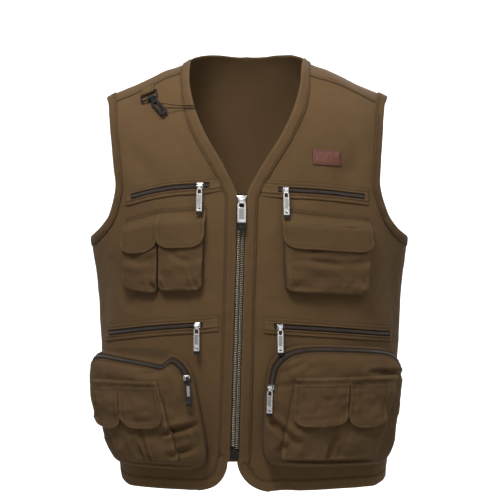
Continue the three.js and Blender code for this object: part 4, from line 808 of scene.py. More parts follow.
hook_face = HOOK_THICK / 2 + CORD_RADIUS + 0.65
round_hook = np.array([(0, side * hook_face, up - HOOK_LENGTH - HOOK_SEAT) for side, up in CORD_ROUND])
round_hook = from_frame(hook_frame, round_hook @ turned("y", HOOK_TURN).T)
cord_line = smooth_line(np.concatenate([cord_over_edge(-58.0), round_hook, cord_over_edge(-62.0)[::-1]])) * MM
cord_curve = bpy.data.curves.new("thin_cord", "CURVE")
cord_curve.dimensions = "3D"
cord_curve.bevel_depth = CORD_RADIUS * MM
cord_curve.bevel_resolution = 3
cord_curve.use_fill_caps = True
cord_spline = cord_curve.splines.new("POLY")
cord_spline.points.add(len(cord_line) - 1)
cord_spline.points.foreach_set("co", np.pad(cord_line, ((0, 0), (0, 1)), constant_values=1).ravel())
hook_cord = add_object("thin_cord", cord_curve)
cord_curve.materials.append(CORD)
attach(hook_cord, "vest")
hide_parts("hook_cord")

# %% [markdown]
# ## The body panels
# Two fronts and a back are cut from the same canvas. The fronts have a rounded lower corner at the zip, and
# the back laps over the shoulders to a seam in front of the ridge. Hems are turned up and stitched, so the
# cloth is thicker below the stitch line and dips along it; at the side and shoulder seams one edge lies in
# a shallow valley against the raised, double stitched edge of the other.

# %% Front panels
HEM_ACROSS, HEM_UP, HEM_STITCH = 46.0, 47.0, 15.0
SIDE_TURN, SIDE_X = np.radians(89.8), 230.0
SIDE_UP, SIDE_LAP = 9.0, 2.2  # rise of the hem at the sides, lap of the front under the back's edge
SEAM_NECK_Z, SEAM_ARM_Z = 5.0, -50.0
ARMPIT_PSI = (ARMPIT_Z - CHEST_Z) / climb(SIDE_X)
FRONT_DEPTH, BACK_DEPTH = 118, 112  # millimetres to a turn of one radian beside the side seam
FRONT_RISE, BACK_RISE = 155, 330  # length of the cloth above the chest
FRONT_COLUMNS, FRONT_ROWS = 66, (118, 40, 46)
FAR = 400.0


def front_edge(z, sign):
    """Places of a front edge at heights z."""
    return place_at(centre(z) + sign * curve(NECKLINE, 1, z), z)


def arm_edge(z, sign, behind=False):
    """Places of an armhole's edge at heights z."""
    return place_at(body(MIDDLE, z) + sign * curve(ARMHOLE, 2 if behind else 1, z), z, behind)


def armhole_levels(count):
    """Heights from the armpit to the chest, closer together at the armpit."""
    return ARMPIT_Z + (CHEST_Z - ARMPIT_Z) * np.linspace(0, 1, count) ** 1.5


def step_up(at, low, high):
    """Smooth step from 0 at low to 1 at high."""
    t = np.clip((at - low) / (high - low), 0, 1)
    return t * t * (3 - 2 * t)


def bell(at, middle, width):
    """Smooth hump: 1 at its middle, about a third at its width."""
    return np.exp(-(((at - middle) / width) ** 2))


def hem_shape(points, above):
    """Turned hem: thicker below the stitch line, a groove along it and small puckers beside it."""
    wave = ripple(points, 13, 31, (1, 1, 0.2), 8)
    return (0.7 * (1 - step_up(above, HEM_STITCH - 1, HEM_STITCH + 2)) - 0.55 * bell(above, HEM_STITCH, 1.8)
            + 0.28 * wave * bell(above, HEM_STITCH, 9))


def front_lower(sign, s, t):
    """Places of a front below the armpit: s from the front edge to the side, t from the hem up."""
    edge = front_edge(lerp(HEM_Z + HEM_UP, ARMPIT_Z, t), sign)[0]
    phi = lerp(edge, sign * SIDE_TURN, s)
    hem_x = body(MIDDLE, HEM_Z) + body(HALF, HEM_Z) * np.sin(phi)
    from_edge = np.abs(hem_x - centre(HEM_Z)) - curve(NECKLINE, 1, HEM_Z)
    into = np.clip(1 - from_edge / HEM_ACROSS, 0, 1)
    hem = HEM_Z + HEM_UP * (1 - np.sqrt(1 - into * into)) + SIDE_UP * step_up(s, 0.72, 1.0)
    z = lerp(hem, ARMPIT_Z, t)
    return *place_turned(phi, z), z - hem


def stacked_places(lower, chest, upper, from_seam):
    """Three grids of places as one, with the distances above the hem and below the shoulder seam."""
    phi, psi = (np.concatenate([lower[k], chest[k], upper[k]]) for k in range(2))
    above, from_top = np.full(phi.shape, FAR), np.full(phi.shape, FAR)
    above[:len(lower[2])] = lower[2]
    from_top[-len(from_seam):] = from_seam
    return phi, psi, above, from_top


def front_places(sign):
    """Places of a front: rows from the hem to the shoulder seam, columns from the edge to the side."""
    low_rows, chest_rows, top_rows = FRONT_ROWS
    s = np.linspace(0, 1, FRONT_COLUMNS)[None] ** 1.25
    lower = front_lower(sign, s, np.linspace(0, 1, low_rows)[:, None] ** 1.08)
    z = armhole_levels(chest_rows)[1:, None]
    chest = place_turned(lerp(front_edge(z, sign)[0], arm_edge(z, sign)[0], s), z)
    w = np.linspace(0, 1, top_rows)[1:, None]
    inner = front_edge(lerp(CHEST_Z, SEAM_NECK_Z, w), sign)
    outer = arm_edge(lerp(CHEST_Z, SEAM_ARM_Z, w), sign)
    upper = [lerp(inner[k], outer[k], s) for k in range(2)]
    return stacked_places(lower, chest, upper, (1 - w) * FRONT_RISE)


def front_panel(side, sign):
    """Front of the vest: drape, hem, a valley at its seams, and a lap under the back's edge at the side."""
    phi, psi, above, from_top = front_places(sign)
    form = form_point(phi, psi)
    from_side = np.where(psi < ARMPIT_PSI, (SIDE_TURN - np.abs(phi)) * FRONT_DEPTH, FAR)
    valley = -0.7 * bell(np.maximum(from_side, 0), 0, 3) - 0.6 * bell(from_top, 0, 3)
    grid = cloth_point(phi, psi, panel_lift(phi, psi) + hem_shape(form, above) + valley)
    lapped = (1 - step_up(from_side, 0, 7)) * (1 - step_up(form[..., 2], ARMPIT_Z - 20, ARMPIT_Z))
    grid[..., 1] += SIDE_LAP * lapped
    seam = 0.8 * bell(above, HEM_STITCH, 1.6) + bell(from_side, 0, 2.5) + bell(from_top, 0, 2.5)
    wear = 0.5 * bell(above, 0, 3.5) + 0.25 * bell(above, HEM_STITCH - 4, 2.5)
    piece = cloth_piece(f"{side}_front_cloth", grid, form_normal(phi, psi), CANVAS, f"{side}_front_panel",
                        1.2, seam, wear)
    declare_sheet(piece, grid)
    s = np.linspace(0.01, 0.995, 260)
    first = front_lower(sign, s, 0 * s)
    climbs = HEM_STITCH / (ARMPIT_Z - form_point(first[0], first[1])[:, 2])
    sew(side, *front_lower(sign, s, climbs)[:2], over_panel(0.15))
    return grid


front_grids = {side: front_panel(side, sign) for side, sign in (("right", -1), ("left", 1))}
print("front panels:", {side: grid.shape for side, grid in front_grids.items()})

# %% Back panel
NECK_HALF, NECK_TURN, RIDGE_SHARE, NECK_START = 88.0, 32.0, 0.72, 5 / 14
BACK_COLUMNS, BACK_ROWS = 56, (84, 32, 20, 56)
SEAM_INSETS = (2.2, 6.0)


def back_neck_edge(sign, t):
    """Neck edge over the ridge, from the centre of the back (t = 0) to the front shoulder seam (t = 1)."""
    seam = front_edge(np.array(SEAM_NECK_Z), sign)
    quarter = np.pi / 2 * np.minimum(t / RIDGE_SHARE, 1)
    psi = np.radians(90 + NECK_TURN * np.cos(quarter))
    phi = 0 * psi
    for _ in range(5):
        phi = np.arcsin(sign * NECK_HALF * np.sin(quarter) / body(HALF, form_point(phi, psi)[..., 2]))
    past = np.maximum(t - RIDGE_SHARE, 0) / (1 - RIDGE_SHARE)
    return lerp(phi, seam[0], past), lerp(psi, seam[1], past)


def back_arm_edge(sign, t):
    """Armhole edge over the ridge, from the chest level of the back (t = 0) to the shoulder seam (t = 1)."""
    seam = arm_edge(np.array(SEAM_ARM_Z), sign)
    psi = lerp(np.pi, seam[1], t)
    phi = np.full_like(psi, sign * np.radians(60))
    for _ in range(5):
        z = form_point(phi, psi)[..., 2]
        arm = np.where(psi < np.pi / 2, curve(ARMHOLE, 1, z), curve(ARMHOLE, 2, z))
        phi = sign * np.arcsin(arm / body(HALF, z))
    return phi, psi


def back_hem(s):
    """Height of the back's hem, from its middle (s = 0) to the side (s = 1)."""
    return lerp(BACK_HEM_Z, HEM_Z + SIDE_UP, s * s)


def back_lower(sign, s, t):
    """Places of half the back below the armpit: s from the middle to the side, t from the hem up."""
    z = lerp(back_hem(s), ARMPIT_Z, t)
    return *place_turned(sign * SIDE_TURN * s, z, True), z - back_hem(s)


def back_places(sign):
    """Grid of places of half the back: rows from the hem over the ridge to the front shoulder seam."""
    low_rows, blade_rows, neck_rows, top_rows = BACK_ROWS
    s = np.linspace(0, 1, BACK_COLUMNS)[None]
    lower = back_lower(sign, s, np.linspace(0, 1, low_rows)[:, None])
    z = armhole_levels(blade_rows)[1:, None]
    blades = place_turned(arm_edge(z, sign, True)[0] * s, z, True)
    below, beside = np.linspace(0, NECK_START, neck_rows), np.linspace(NECK_START, 1, top_rows)
    w = np.concatenate([below[1:], beside[1:]])[:, None]
    neck = back_neck_edge(sign, np.maximum(w - NECK_START, 0) / (1 - NECK_START))
    low = w <= NECK_START
    rise = lerp(np.pi, np.radians(90 + NECK_TURN), np.minimum(w / NECK_START, 1))
    inner = (np.where(low, 0, neck[0]), np.where(low, rise, neck[1]))
    outer = back_arm_edge(sign, w)
    upper = [lerp(inner[k], outer[k], s) for k in range(2)]
    return stacked_places(lower, blades, upper, (1 - w) * BACK_RISE)


def back_half(sign):
    """Half of the back: drape and hem, and raised double stitched edges with grooves at its seams."""
    phi, psi, above, from_top = back_places(sign)
    from_side = np.where(psi > np.pi - ARMPIT_PSI * 0.999, (SIDE_TURN - np.abs(phi)) * BACK_DEPTH, FAR)
    ridge = 0.75 * (1 - step_up(from_side, 7, 10)) + 0.75 * (1 - step_up(from_top, 7, 10))
    grooves = -0.4 * (bell(from_side, 6, 1.3) + bell(from_top, 6, 1.3))
    lift = panel_lift(phi, psi) + hem_shape(form_point(phi, psi), above) + ridge + grooves
    seam = 0.8 * (bell(above, HEM_STITCH, 1.6) + bell(from_side, 6, 1.5) + bell(from_top, 6, 1.5))
    wear = 0.5 * bell(above, 0, 3.5) + 0.3 * bell(from_top, 2, 2.5) + 0.3 * bell(from_side, 2, 2.5)
    return cloth_point(phi, psi, lift), seam, wear


halves = [back_half(sign) for sign in (-1, 1)]
right_half, left_half = halves[0][0], halves[1][0]
half_count = right_half.shape[0] * BACK_COLUMNS
shared = np.arange(2 * half_count)
below_neck = (sum(BACK_ROWS[:3]) - 2) * BACK_COLUMNS
shared[half_count:half_count + below_neck:BACK_COLUMNS] = shared[:below_neck:BACK_COLUMNS]
half_faces = grid_faces(*right_half.shape[:2]).reshape(-1, 4)
back_faces = np.concatenate([half_faces[:, ::-1], shared[half_faces + half_count]])
back_points, back_seam, back_wear = (np.concatenate(pair).reshape(2 * half_count, -1)
                                     for pair in zip(*halves))
back_uv = np.concatenate([measure_of(right_half) * (-1, 1), measure_of(left_half)])
back_piece = cloth_piece("back_cloth", back_points, np.array([0, 1.0, 0]), CANVAS, "back_panel", 1.2,
                         back_seam[:, 0], back_wear[:, 0], back_faces, back_uv)
declare_sheet(back_piece, np.concatenate([right_half[:, ::-1], left_half[:, 1:]], 1))
for sign in (-1, 1):
    s = np.linspace(0, 0.995, 200)
    sew("back", *back_lower(sign, s, HEM_STITCH / (ARMPIT_Z - back_hem(s)))[:2], over_panel(0.15))
    t = np.linspace(0.012, 0.99, 160)
    for inset in SEAM_INSETS:
        sew("back", *back_lower(sign, 1 - inset / BACK_DEPTH / SIDE_TURN + 0 * t, t)[:2], over_panel(0.75))
        w = np.full(90, 1 - inset / BACK_RISE)
        inner = back_neck_edge(sign, (w - NECK_START) / (1 - NECK_START))
        outer = back_arm_edge(sign, w)
        share = np.linspace(0.04, 0.96, 90)
        sew("back", *(lerp(inner[k], outer[k], share) for k in range(2)), over_panel(0.75))
print("back panel points:", len(back_points))

# %% [markdown]
# ## Bindings
# A folded strip of the same canvas closes the front edges, the neckline and the armholes. It wraps round
# the raw edge, rises over it and is sewn down near its inner side, where the thread pulls a groove and
# small puckers into it. The strip is one profile carried along the edge; round the armpit, where the edge
# bends most, the strip is crowded and ribs appear.

# %% Bands along the edges
def strip_places(phi, psi, offsets, side, closed):
    """Places beside an edge: from each spot of it, steps of some millimetres away from the opening. A step is
    split into turns by solving for its shares along the form's two tangents."""
    points = form_point(phi, psi)
    along = np.roll(points, -1, 0) - np.roll(points, 1, 0) if closed else np.gradient(points, axis=0)
    inward = side * np.cross(form_normal(phi, psi), unit(along))
    across = (form_point(phi + SMALL_TURN, psi) - points) / SMALL_TURN
    up = (form_point(phi, psi + SMALL_TURN) - points) / SMALL_TURN
    aa, au, uu = (across * across).sum(-1), (across * up).sum(-1), (up * up).sum(-1)
    da, du = (inward * across).sum(-1), (inward * up).sum(-1)
    scale = aa * uu - au * au
    turn_phi, turn_psi = (da * uu - du * au) / scale, (du * aa - da * au) / scale
    return phi[:, None] + turn_phi[:, None] * offsets, psi[:, None] + turn_psi[:, None] * offsets


def band_rise(z):
    """Share of a band's height: all of it above, half at the hem's corner, none at the hem."""
    above = z - HEM_Z - HEM_UP
    return lerp(0.55 * np.clip(1 + above / HEM_UP, 0, 1), 1, step_up(above, 0, 25))


def band(name, node, phi, psi, profile, stitch, side, closed, ribs):
    """Binding: the profile's offsets from the edge and heights over the cloth, carried along the edge."""
    offsets, heights = np.array(profile, float).T
    places = strip_places(phi, psi, offsets[None], side, closed)
    form = form_point(*places)
    pucker = 0.34 * ripple(form, 12, 41, (1, 1, 1), 12) * bell(offsets, stitch, 4)
    near_armpit = bell(form[..., 2], ARMPIT_Z + 6, 26)
    rib = ribs * ripple(form, 9, 42, (1, 1, 1), 6) * near_armpit * step_up(offsets, 0, 4)
    slack_band = 0.22 * ripple(form, 30, 43) * step_up(offsets, 0, 3)
    lift = panel_lift(*places) + band_rise(form[..., 2]) * (heights + pucker + rib + slack_band)
    grid = cloth_point(*places, lift)
    seam = 0.9 * bell(offsets, stitch, 0.9) + 0.9 * bell(offsets, offsets[-1], 0.9)
    wear = 0.3 * bell(offsets, 0, 2.0) + 0.1 * bell(offsets, stitch + 1.5, 1.0)
    out = form_normal(*places)[:max(len(grid) // 3, 1)]
    faces = grid_faces(*grid.shape[:2], closed=closed).reshape(-1, 4)
    piece = cloth_piece(name, grid, out, BINDING, node, 0.9, seam, wear, faces)
    declare_sheet(piece, grid)

    def over_band(p, q):
        """Lift of the stitches: on the band, and never below its turned edge."""
        return panel_lift(p, q) + np.maximum(band_rise(form_point(p, q)[..., 2]) * (heights[-3] - 0.2), 0.75)

    line = strip_places(phi, psi, np.array([[stitch]]), side, closed)
    sew("bindings", line[0][:, 0], line[1][:, 0], over_band)


def neck_edge(sign):
    """Places round the hem's corner, up one front edge and over the ridge to the centre of the back."""
    turn = np.linspace(np.pi / 2, 0, 26)[:-1]
    corner_x = centre(HEM_Z) + sign * (curve(NECKLINE, 1, HEM_Z) + HEM_ACROSS * (1 - np.cos(turn)))
    corner_phi = np.arcsin((corner_x - body(MIDDLE, HEM_Z)) / body(HALF, HEM_Z))
    corner = place_turned(corner_phi, HEM_Z + HEM_UP * (1 - np.sin(turn)))
    low = np.concatenate([np.linspace(HEM_Z + HEM_UP + 2, -205, 100), np.linspace(-202, SEAM_NECK_Z, 74)])
    front = front_edge(low, sign)
    over = back_neck_edge(sign, np.linspace(1, 0, 44)[1:])
    return tuple(np.concatenate([corner[k], front[k], over[k]]) for k in range(2))


NECK_STITCH, ARM_STITCH, ARM_RIBS = 13.2, 9.9, 0.5
NECK_PROFILE = [  # in from the edge, height over the cloth
    (-1.2, -0.5), (-1.5, 0.4), (-1.0, 1.5), (0.3, 2.15), (2.5, 2.45), (5, 2.55), (8, 2.55), (11, 2.5),
    (12.4, 2.3), (NECK_STITCH, 1.9), (14.0, 2.25), (15.0, 2.2), (16, 1.75),
]
ARM_PROFILE = [
    (-1.2, -0.5), (-1.5, 0.4), (-1.0, 1.4), (0.3, 2.0), (2.2, 2.3), (4.5, 2.35), (7, 2.3), (9, 2.15),
    (ARM_STITCH, 1.8), (10.7, 2.1), (12, 2.0), (13, 1.6),
]
neck_sides = [neck_edge(-1), neck_edge(1)]
neck_phi, neck_psi = (np.concatenate([neck_sides[0][k], neck_sides[1][k][::-1][1:]]) for k in range(2))
band("neck_binding", "neck_band", neck_phi, neck_psi, NECK_PROFILE, NECK_STITCH, 1, False, 0.0)


def armhole_edge(sign):
    """Places round an armhole: up the front from the armpit, over the ridge and down the back."""
    z = armhole_levels(42)
    front = arm_edge(z, sign)
    rise = arm_edge(np.linspace(CHEST_Z, SEAM_ARM_Z, 30)[1:], sign)
    over = back_arm_edge(sign, np.linspace(1, 0, 52)[1:])
    behind = arm_edge(z[1:-1][::-1], sign, True)
    return tuple(np.concatenate([front[k], rise[k], over[k], behind[k]]) for k in range(2))


for side, sign in (("right", -1), ("left", 1)):
    band(f"{side}_armhole_binding", f"{side}_armhole_band", *armhole_edge(sign), ARM_PROFILE, ARM_STITCH,
         sign, True, ARM_RIBS)
print("band sizes, m:", {name: size for name, size in sheet_sizes.items() if "binding" in name})

# %% [markdown]
# ## Pocket zips
# Four straight zips are set into the fronts. Each has a strip of canvas with a slot, folded to a soft lip
# along the slot and stitched beside it; below the slot lies the dark tape with a spiral of nylon that
# closes it. The spiral is two rows of small beads laid across the tape, half a step apart.

# %% Welts, tapes and coils
ZIP_SLOT, ZIP_TAPE, WELT_STITCH, WELT_HALF = 4.5, 3.8, 7.3, 12.5
WELT_PAST_CHEST = 0.12
COIL_PITCH = 1.45
COIL_BEAD = bead([(-1.05, 0.28, 0.22, -0.1), (-0.7, 0.52, 0.5, 0.1), (0.55, 0.52, 0.55, 0.2),
                  (1.0, 0.36, 0.4, 0.1)])
ZIP_BOW = {"right_chest": 4.0, "left_chest": 1.5, "right_waist": 2.0, "left_waist": 1.0}


def zip_places(name, t, height):
    """Places at a share t along a pocket zip, some height above its line, which bows up to the slider."""
    (ax, az), (bx, bz), slider, *_ = POCKET_ZIPS[name]
    bow = ZIP_BOW[name] * np.sin(np.pi * np.clip(t / slider, 0, 1))
    return place_at(lerp(ax, bx, t), lerp(az, bz, t) + height + bow)


def welt_height(h):
    """Height of a welt over the panel: lips at the slot, grooves at the stitches, thin at its edge."""
    return (1.75 + 0.55 * bell(h, 5.1, 1.1) - 0.35 * bell(h, WELT_STITCH, 0.8)
            - 0.6 * step_up(h, 11.2, WELT_HALF))


def coil(path, normals):
    """Two rows of beads across a path, half a step apart."""
    parts = []
    for way, start in ((1, 0.25), (-1, 0.75)):
        spots, along, across, up = path_frames(path, normals, COIL_PITCH, start)
        spots = spots + across * way * 0.85 + up * 0.35
        parts.append(repeated(COIL_BEAD, spots, across * way, -along * way, up))
    return joined(parts)


def bead_piece(name, verts, faces, material, slot):
    """Piece of the body made of repeated beads."""
    piece = add_object(name, quad_mesh(name, verts * MM, faces, verts[:, [0, 2]] * MM), material)
    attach(piece, "vest")


COIL = hard_material("dark nylon", (0.030, 0.022, 0.017, 1), (0.060, 0.045, 0.036, 1), 0.35, 0.25, 0.0)
lip = np.array([ZIP_SLOT, 4.8, 5.2, 5.8, 6.5, 7.0, 7.4, 8.0, 9.2, 10.4, 11.3, 12.0, WELT_HALF])
welt_rows = np.concatenate([-lip[::-1], lip])[:, None]


def zip_welt(name, past_outer, sunk, past_inner):
    """Strip of canvas round a slot, with thin ends; past the zip's inner end it sinks to a plain strip."""
    t = np.concatenate([np.linspace(-past_outer, 0, 6)[:-1], np.linspace(0, 1, 64),
                        np.linspace(1, 1 + past_inner, 12)[1:]])[None]
    places, away = zip_places(name, t, welt_rows), np.abs(welt_rows)
    ends = np.minimum(t + past_outer, 1 + past_inner - t) * 150
    creases = 0.16 * ripple(form_point(*places), 16, 51, (1, 1, 0.4)) * step_up(away, ZIP_SLOT, 7)
    thin = 0.6 * (1 - step_up(ends, 0, 1.5)) + 0.9 * step_up(t, 1 + sunk, 1.03 + sunk)
    grid = cloth_point(*places, panel_lift(*places) + welt_height(away) - thin + creases)
    cells = grid_faces(*grid.shape[:2])
    hole = np.zeros(cells.shape[:2], bool)
    hole[len(lip) - 1] = (t[0, :-1] > -1e-9) & (t[0, 1:] < 1 + 1e-9)
    seam = 0.5 * bell(away, WELT_STITCH, 0.7) + 1.0 * bell(away, WELT_HALF, 0.9)
    piece = cloth_piece(f"{name}_zip_welt", grid, form_normal(*places), CANVAS, f"{name}_welt", 1.0, seam,
                        0.15 * bell(away, 4.8, 0.8), cells[~hole])
    declare_sheet(piece, grid)


def zip_stitches(name, side, past_outer, past_inner):
    """Stitches beside the slot, and on beyond the welt's ends as far as the neck band."""
    for height in (-WELT_STITCH, WELT_STITCH):
        line = zip_places(name, np.linspace(-past_outer * 0.5, 1 + past_inner * 0.5, 120), height)
        sew(side, *line, over_panel(1.55))
    for height in (WELT_HALF - 0.6, 0.6 - WELT_HALF):
        for low, high in ((-past_outer - 0.10, -past_outer), (1 + past_inner, 1 + past_inner + 0.16)):
            phi, psi = zip_places(name, np.linspace(low, high, 30), height)
            x, _, z = np.moveaxis(form_point(phi, psi), -1, 0)
            free = np.abs(x - centre(z)) > curve(NECKLINE, 1, z) + 16
            if free.sum() > 6:
                sew(side, phi[free], psi[free], over_panel(0.1))


for name, (*_, past_outer, sunk, _) in POCKET_ZIPS.items():
    side = name.split("_")[0]
    past_inner = sunk + (WELT_PAST_CHEST if "chest" in name else 0.0)
    zip_welt(name, past_outer, sunk, past_inner)
    across = np.linspace(-ZIP_TAPE, ZIP_TAPE, 9)[:, None]
    places = zip_places(name, np.linspace(0.008, 0.992, 60)[None], across)
    grid = cloth_point(*places, panel_lift(*places) + 1.15 + 0.15 * bell(across, 0, 1.5))
    cloth_piece(f"{name}_zip_tape", grid, form_normal(*places), TAPE, f"{name}_zip", 0.6)
    line = zip_places(name, np.linspace(0.012, 0.988, 120), 0.0)
    path = cloth_point(*line, panel_lift(*line) + 1.3)
    bead_piece(f"{name}_zip_coil", *coil(path, form_normal(*line)), COIL, "tape")
    zip_stitches(name, side, past_outer, past_inner)
print("zips:", list(POCKET_ZIPS))

# %% [markdown]
# ## Chest pockets and flaps
# Bellows pockets stand off the chest on gussets, more at the bottom than at the mouth, and sag into level
# folds. A flap hangs over each mouth from a stitched top edge. It drapes over whatever the pocket does
# below it, and its lower edge lifts a little, so that it throws a thin shadow.

# %% Four-cornered patches
POCKET_RISES = np.array([  # share of the way in, share of the height
    (0, 0), (0.007, 0.5), (0.018, 0.78), (0.06, 0.92), (0.3, 1), (1, 1)], float)
MOUTH_RISE, POCKET_WALL = 0.62, 1.65
CHEST_POCKETS = {  # low right, low left, high right, high left corner as (x, z), and depth
    "right_chest_outer": ((-182, -331), (-131.3, -341), (-184, -240), (-130.9, -230), 11),
    "right_chest_inner": ((-130.6, -336), (-64, -334), (-130.2, -230), (-62, -226), 12),
    "left_chest": ((56, -336), (180, -343), (52, -230), (182, -240), 14),
}
CHEST_FLAPS = {  # the same corners
    "right_chest_outer": ((-182, -279), (-131.4, -274), (-183, -226), (-131.2, -213)),
    "right_chest_inner": ((-130.6, -270), (-63, -268), (-130.6, -212), (-60, -208)),
    "left_chest": ((54, -269), (181, -277), (51, -211), (183, -225)),
}
FLAP_ROUND, POCKET_ROUND, PATCH_ROUND = (21, 14), (13, 10), (9, 7)  # how far a corner's round reaches


def corner_rise(corners, u, reach):
    """Share by which a lower corner, rounded by some millimetres, is higher than the lower edge."""
    low_right, low_left, high_right = corners[:3]
    wide = min(reach[0] / (low_left[0] - low_right[0]), 0.48)
    into = np.clip(1 - np.minimum(u, 1 - u) / wide, 0, 1)
    return reach[1] / (high_right[1] - low_right[1]) * (1 - np.sqrt(1 - into * into))


def patch_places(corners, u, v, reach):
    """Places of a patch: x and z lie between its four corners, with v starting at the rounded lower edge."""
    low_right, low_left, high_right, high_left = (np.array(c, float) for c in corners[:4])
    v = lerp(corner_rise(corners, u, reach), 1, v)
    return place_at(*(lerp(lerp(low_right[k], high_right[k], v), lerp(low_left[k], high_left[k], v), u)
                      for k in range(2)))


def patch_shares(corners, phi, psi, reach):
    """The other way round: shares u and v of a patch at a place, found in a few rounds."""
    low_right, low_left, high_right, high_left = (np.array(c, float) for c in corners[:4])
    x, _, z = np.moveaxis(form_point(phi, psi), -1, 0)
    v = 0.5 + 0 * x
    for _ in range(8):
        right, left = lerp(low_right[0], high_right[0], v), lerp(low_left[0], high_left[0], v)
        u = (x - right) / (left - right)
        low, high = lerp(low_right[1], low_left[1], u), lerp(high_right[1], high_left[1], u)
        v = (z - low) / (high - low)
    low = corner_rise(corners, np.clip(u, 0, 1), reach)
    return u, (v - low) / (1 - low)


def within(u, v):
    """Share of the full height inside a patch: steep beside its sides and its lower edge, then 1."""
    return curve(POCKET_RISES, 1, np.minimum(u, 1 - u)) * curve(POCKET_RISES, 1, v)


def bellows(u, v):
    """Share of a pocket's depth: rising from its sides and bottom, and less again towards the mouth."""
    return within(u, v) * lerp(1, MOUTH_RISE, np.clip(v, 0, 1) ** 2)


def dense(count, power):
    """Shares from 0 to 1 that lie closer at both ends."""
    t = np.linspace(-1, 1, count)
    return 0.5 + 0.5 * np.sign(t) * (1 - (1 - np.abs(t)) ** power)


# %% Chest pockets
POCKET_SAGS = {  # name: share up the pocket, slant, depth of the level fold and of the ridge below it
    "right_chest_outer": (0.46, 0.10, 2.2, 1.3),
    "right_chest_inner": (0.47, -0.08, 2.4, 1.4),
    "left_chest": (0.46, 0.09, 3.6, 2.2),
}


def pocket_lift(name, u, v, form):
    """Lift over the panel: wall, bellows, a level sag, small creases, and short slanting ones in the corners
    where the gusset is folded in."""
    at, slant, fold, ridge = POCKET_SAGS[name]
    level = v - at - slant * (u - 0.5) - 0.03 * np.sin(7 * u)
    fades = lerp(0.35, 1.0, step_up(0.5 + 0.5 * np.sin(9 * u + 40 * slant), 0.1, 0.9))
    sag = fades * (ridge * bell(level, -0.09, 0.07) - fold * bell(level, 0, 0.04))
    crease = 0.7 * ripple(form, 34, 61, (0.7, 1, 1.7)) + 0.22 * ripple(form, 13, 62, (0.8, 1, 1.3))
    corners = bell(v, 0.10, 0.13) * (bell(u, 0.9, 0.22) + 0.6 * bell(u, 0.08, 0.15))
    gathers = 1.8 * corners * ripple(form, 11, 63, (1, 1, 0.55), 7)
    return POCKET_WALL + CHEST_POCKETS[name][4] * bellows(u, v) + within(u, v) * (sag + crease + gathers)


for name, corners in CHEST_POCKETS.items():
    u, v = dense(56, 2.0)[None], np.concatenate([dense(80, 2.0)[:40], np.linspace(0.51, 1, 30)])[:, None]
    places = patch_places(corners, u, v, POCKET_ROUND)
    grid = cloth_point(*places, panel_lift(*places) + pocket_lift(name, u, v, form_point(*places)))
    inset = np.minimum(np.minimum(u, 1 - u), v)
    wear = 0.25 * bell(inset, 0.05, 0.02) + 0.2 * bell(v, 1, 0.02)
    piece = cloth_piece(f"{name}_pocket_cloth", grid, form_normal(*places), SHADED_POCKET_CANVAS, f"{name}_pocket",
                        1.0, 0.9 * bell(inset, 0, 0.014), wear)
    declare_sheet(piece, grid)
print("chest pockets:", list(CHEST_POCKETS))

# %% Chest flaps
def flap_over(name, phi, psi):
    """Lift of a flap: over the pocket below its mouth, down to the panel at the sewn top edge."""
    u, v = patch_shares(CHEST_POCKETS[name], phi, psi, POCKET_ROUND)
    w = patch_shares(CHEST_FLAPS[name], phi, psi, FLAP_ROUND)[1]
    over = 1 - step_up(v, 0.93, 1.13)
    puffed = CHEST_POCKETS[name][4] * bellows(np.clip(u, 0.09, 0.91), np.clip(v, 0.12, 1))
    stand = (POCKET_WALL + puffed + 0.6) * over
    form = form_point(phi, psi)
    crease = 0.3 * ripple(form, 40, 71) + 0.1 * ripple(form, 15, 72)
    curl = 1.5 * bell(w, 0, 0.12) * over
    return panel_lift(phi, psi) + stand + 1.9 + (crease + curl) * step_up(1 - w, 0, 0.3)


FLAP_STITCH, FLAP_TOP_STITCH = 4.2, 4.6


def flap_piece(name, corners, over, area):
    """Flap cloth: rounded lower corners, a thick turned edge, and a row of stitches inside it."""
    u, v = dense(58, 1.9)[None], dense(52, 1.8)[:, None]
    places = patch_places(corners, u, v, FLAP_ROUND)
    width = np.hypot(corners[1][0] - corners[0][0], corners[1][1] - corners[0][1])
    height = corners[2][1] - corners[0][1]
    inset, top = np.minimum(np.minimum(u, 1 - u) * width, v * height), (1 - v) * height
    turned_edge = 0.12 * (1 - step_up(inset, 3.6, 5.0)) - 0.15 * bell(inset, FLAP_STITCH, 0.8)
    ridge = 0.5 * (1 - step_up(top, 5, 7)) - 0.35 * bell(top, FLAP_TOP_STITCH, 0.8)
    grid = cloth_point(*places, over(*places) + turned_edge + ridge)
    seam = 0.25 * bell(inset, FLAP_STITCH, 0.9) + 0.7 * bell(top, FLAP_TOP_STITCH, 0.9)
    seam = seam + 0.8 * bell(top, 0, 0.8)
    piece = cloth_piece(f"{name}_cloth", grid, form_normal(*places), SHADED_POCKET_CANVAS, name, 1.1, seam,
                        0.2 * bell(inset, 0.6, 1.0))
    declare_sheet(piece, grid)
    du, dv = FLAP_STITCH / width, FLAP_STITCH / height
    ring_u = np.concatenate([np.full(40, du), np.linspace(du, 1 - du, 60), np.full(40, 1 - du)])
    ring_v = np.concatenate([np.linspace(0.97, dv, 40), np.full(60, dv), np.linspace(dv, 0.97, 40)])
    sew(area, *patch_places(corners, ring_u, ring_v, FLAP_ROUND), lambda p, q: over(p, q) + 0.05)
    top_u = np.linspace(0.02, 0.98, 60)
    top_row = patch_places(corners, top_u, 0 * top_u + 1 - FLAP_TOP_STITCH / height, FLAP_ROUND)
    sew(area, *top_row, lambda p, q: over(p, q) + 0.25)


for name, corners in CHEST_FLAPS.items():
    flap_piece(f"{name}_flap", corners, lambda p, q: flap_over(name, p, q),
               name.split("_")[0])
print("chest flaps:", list(CHEST_FLAPS))

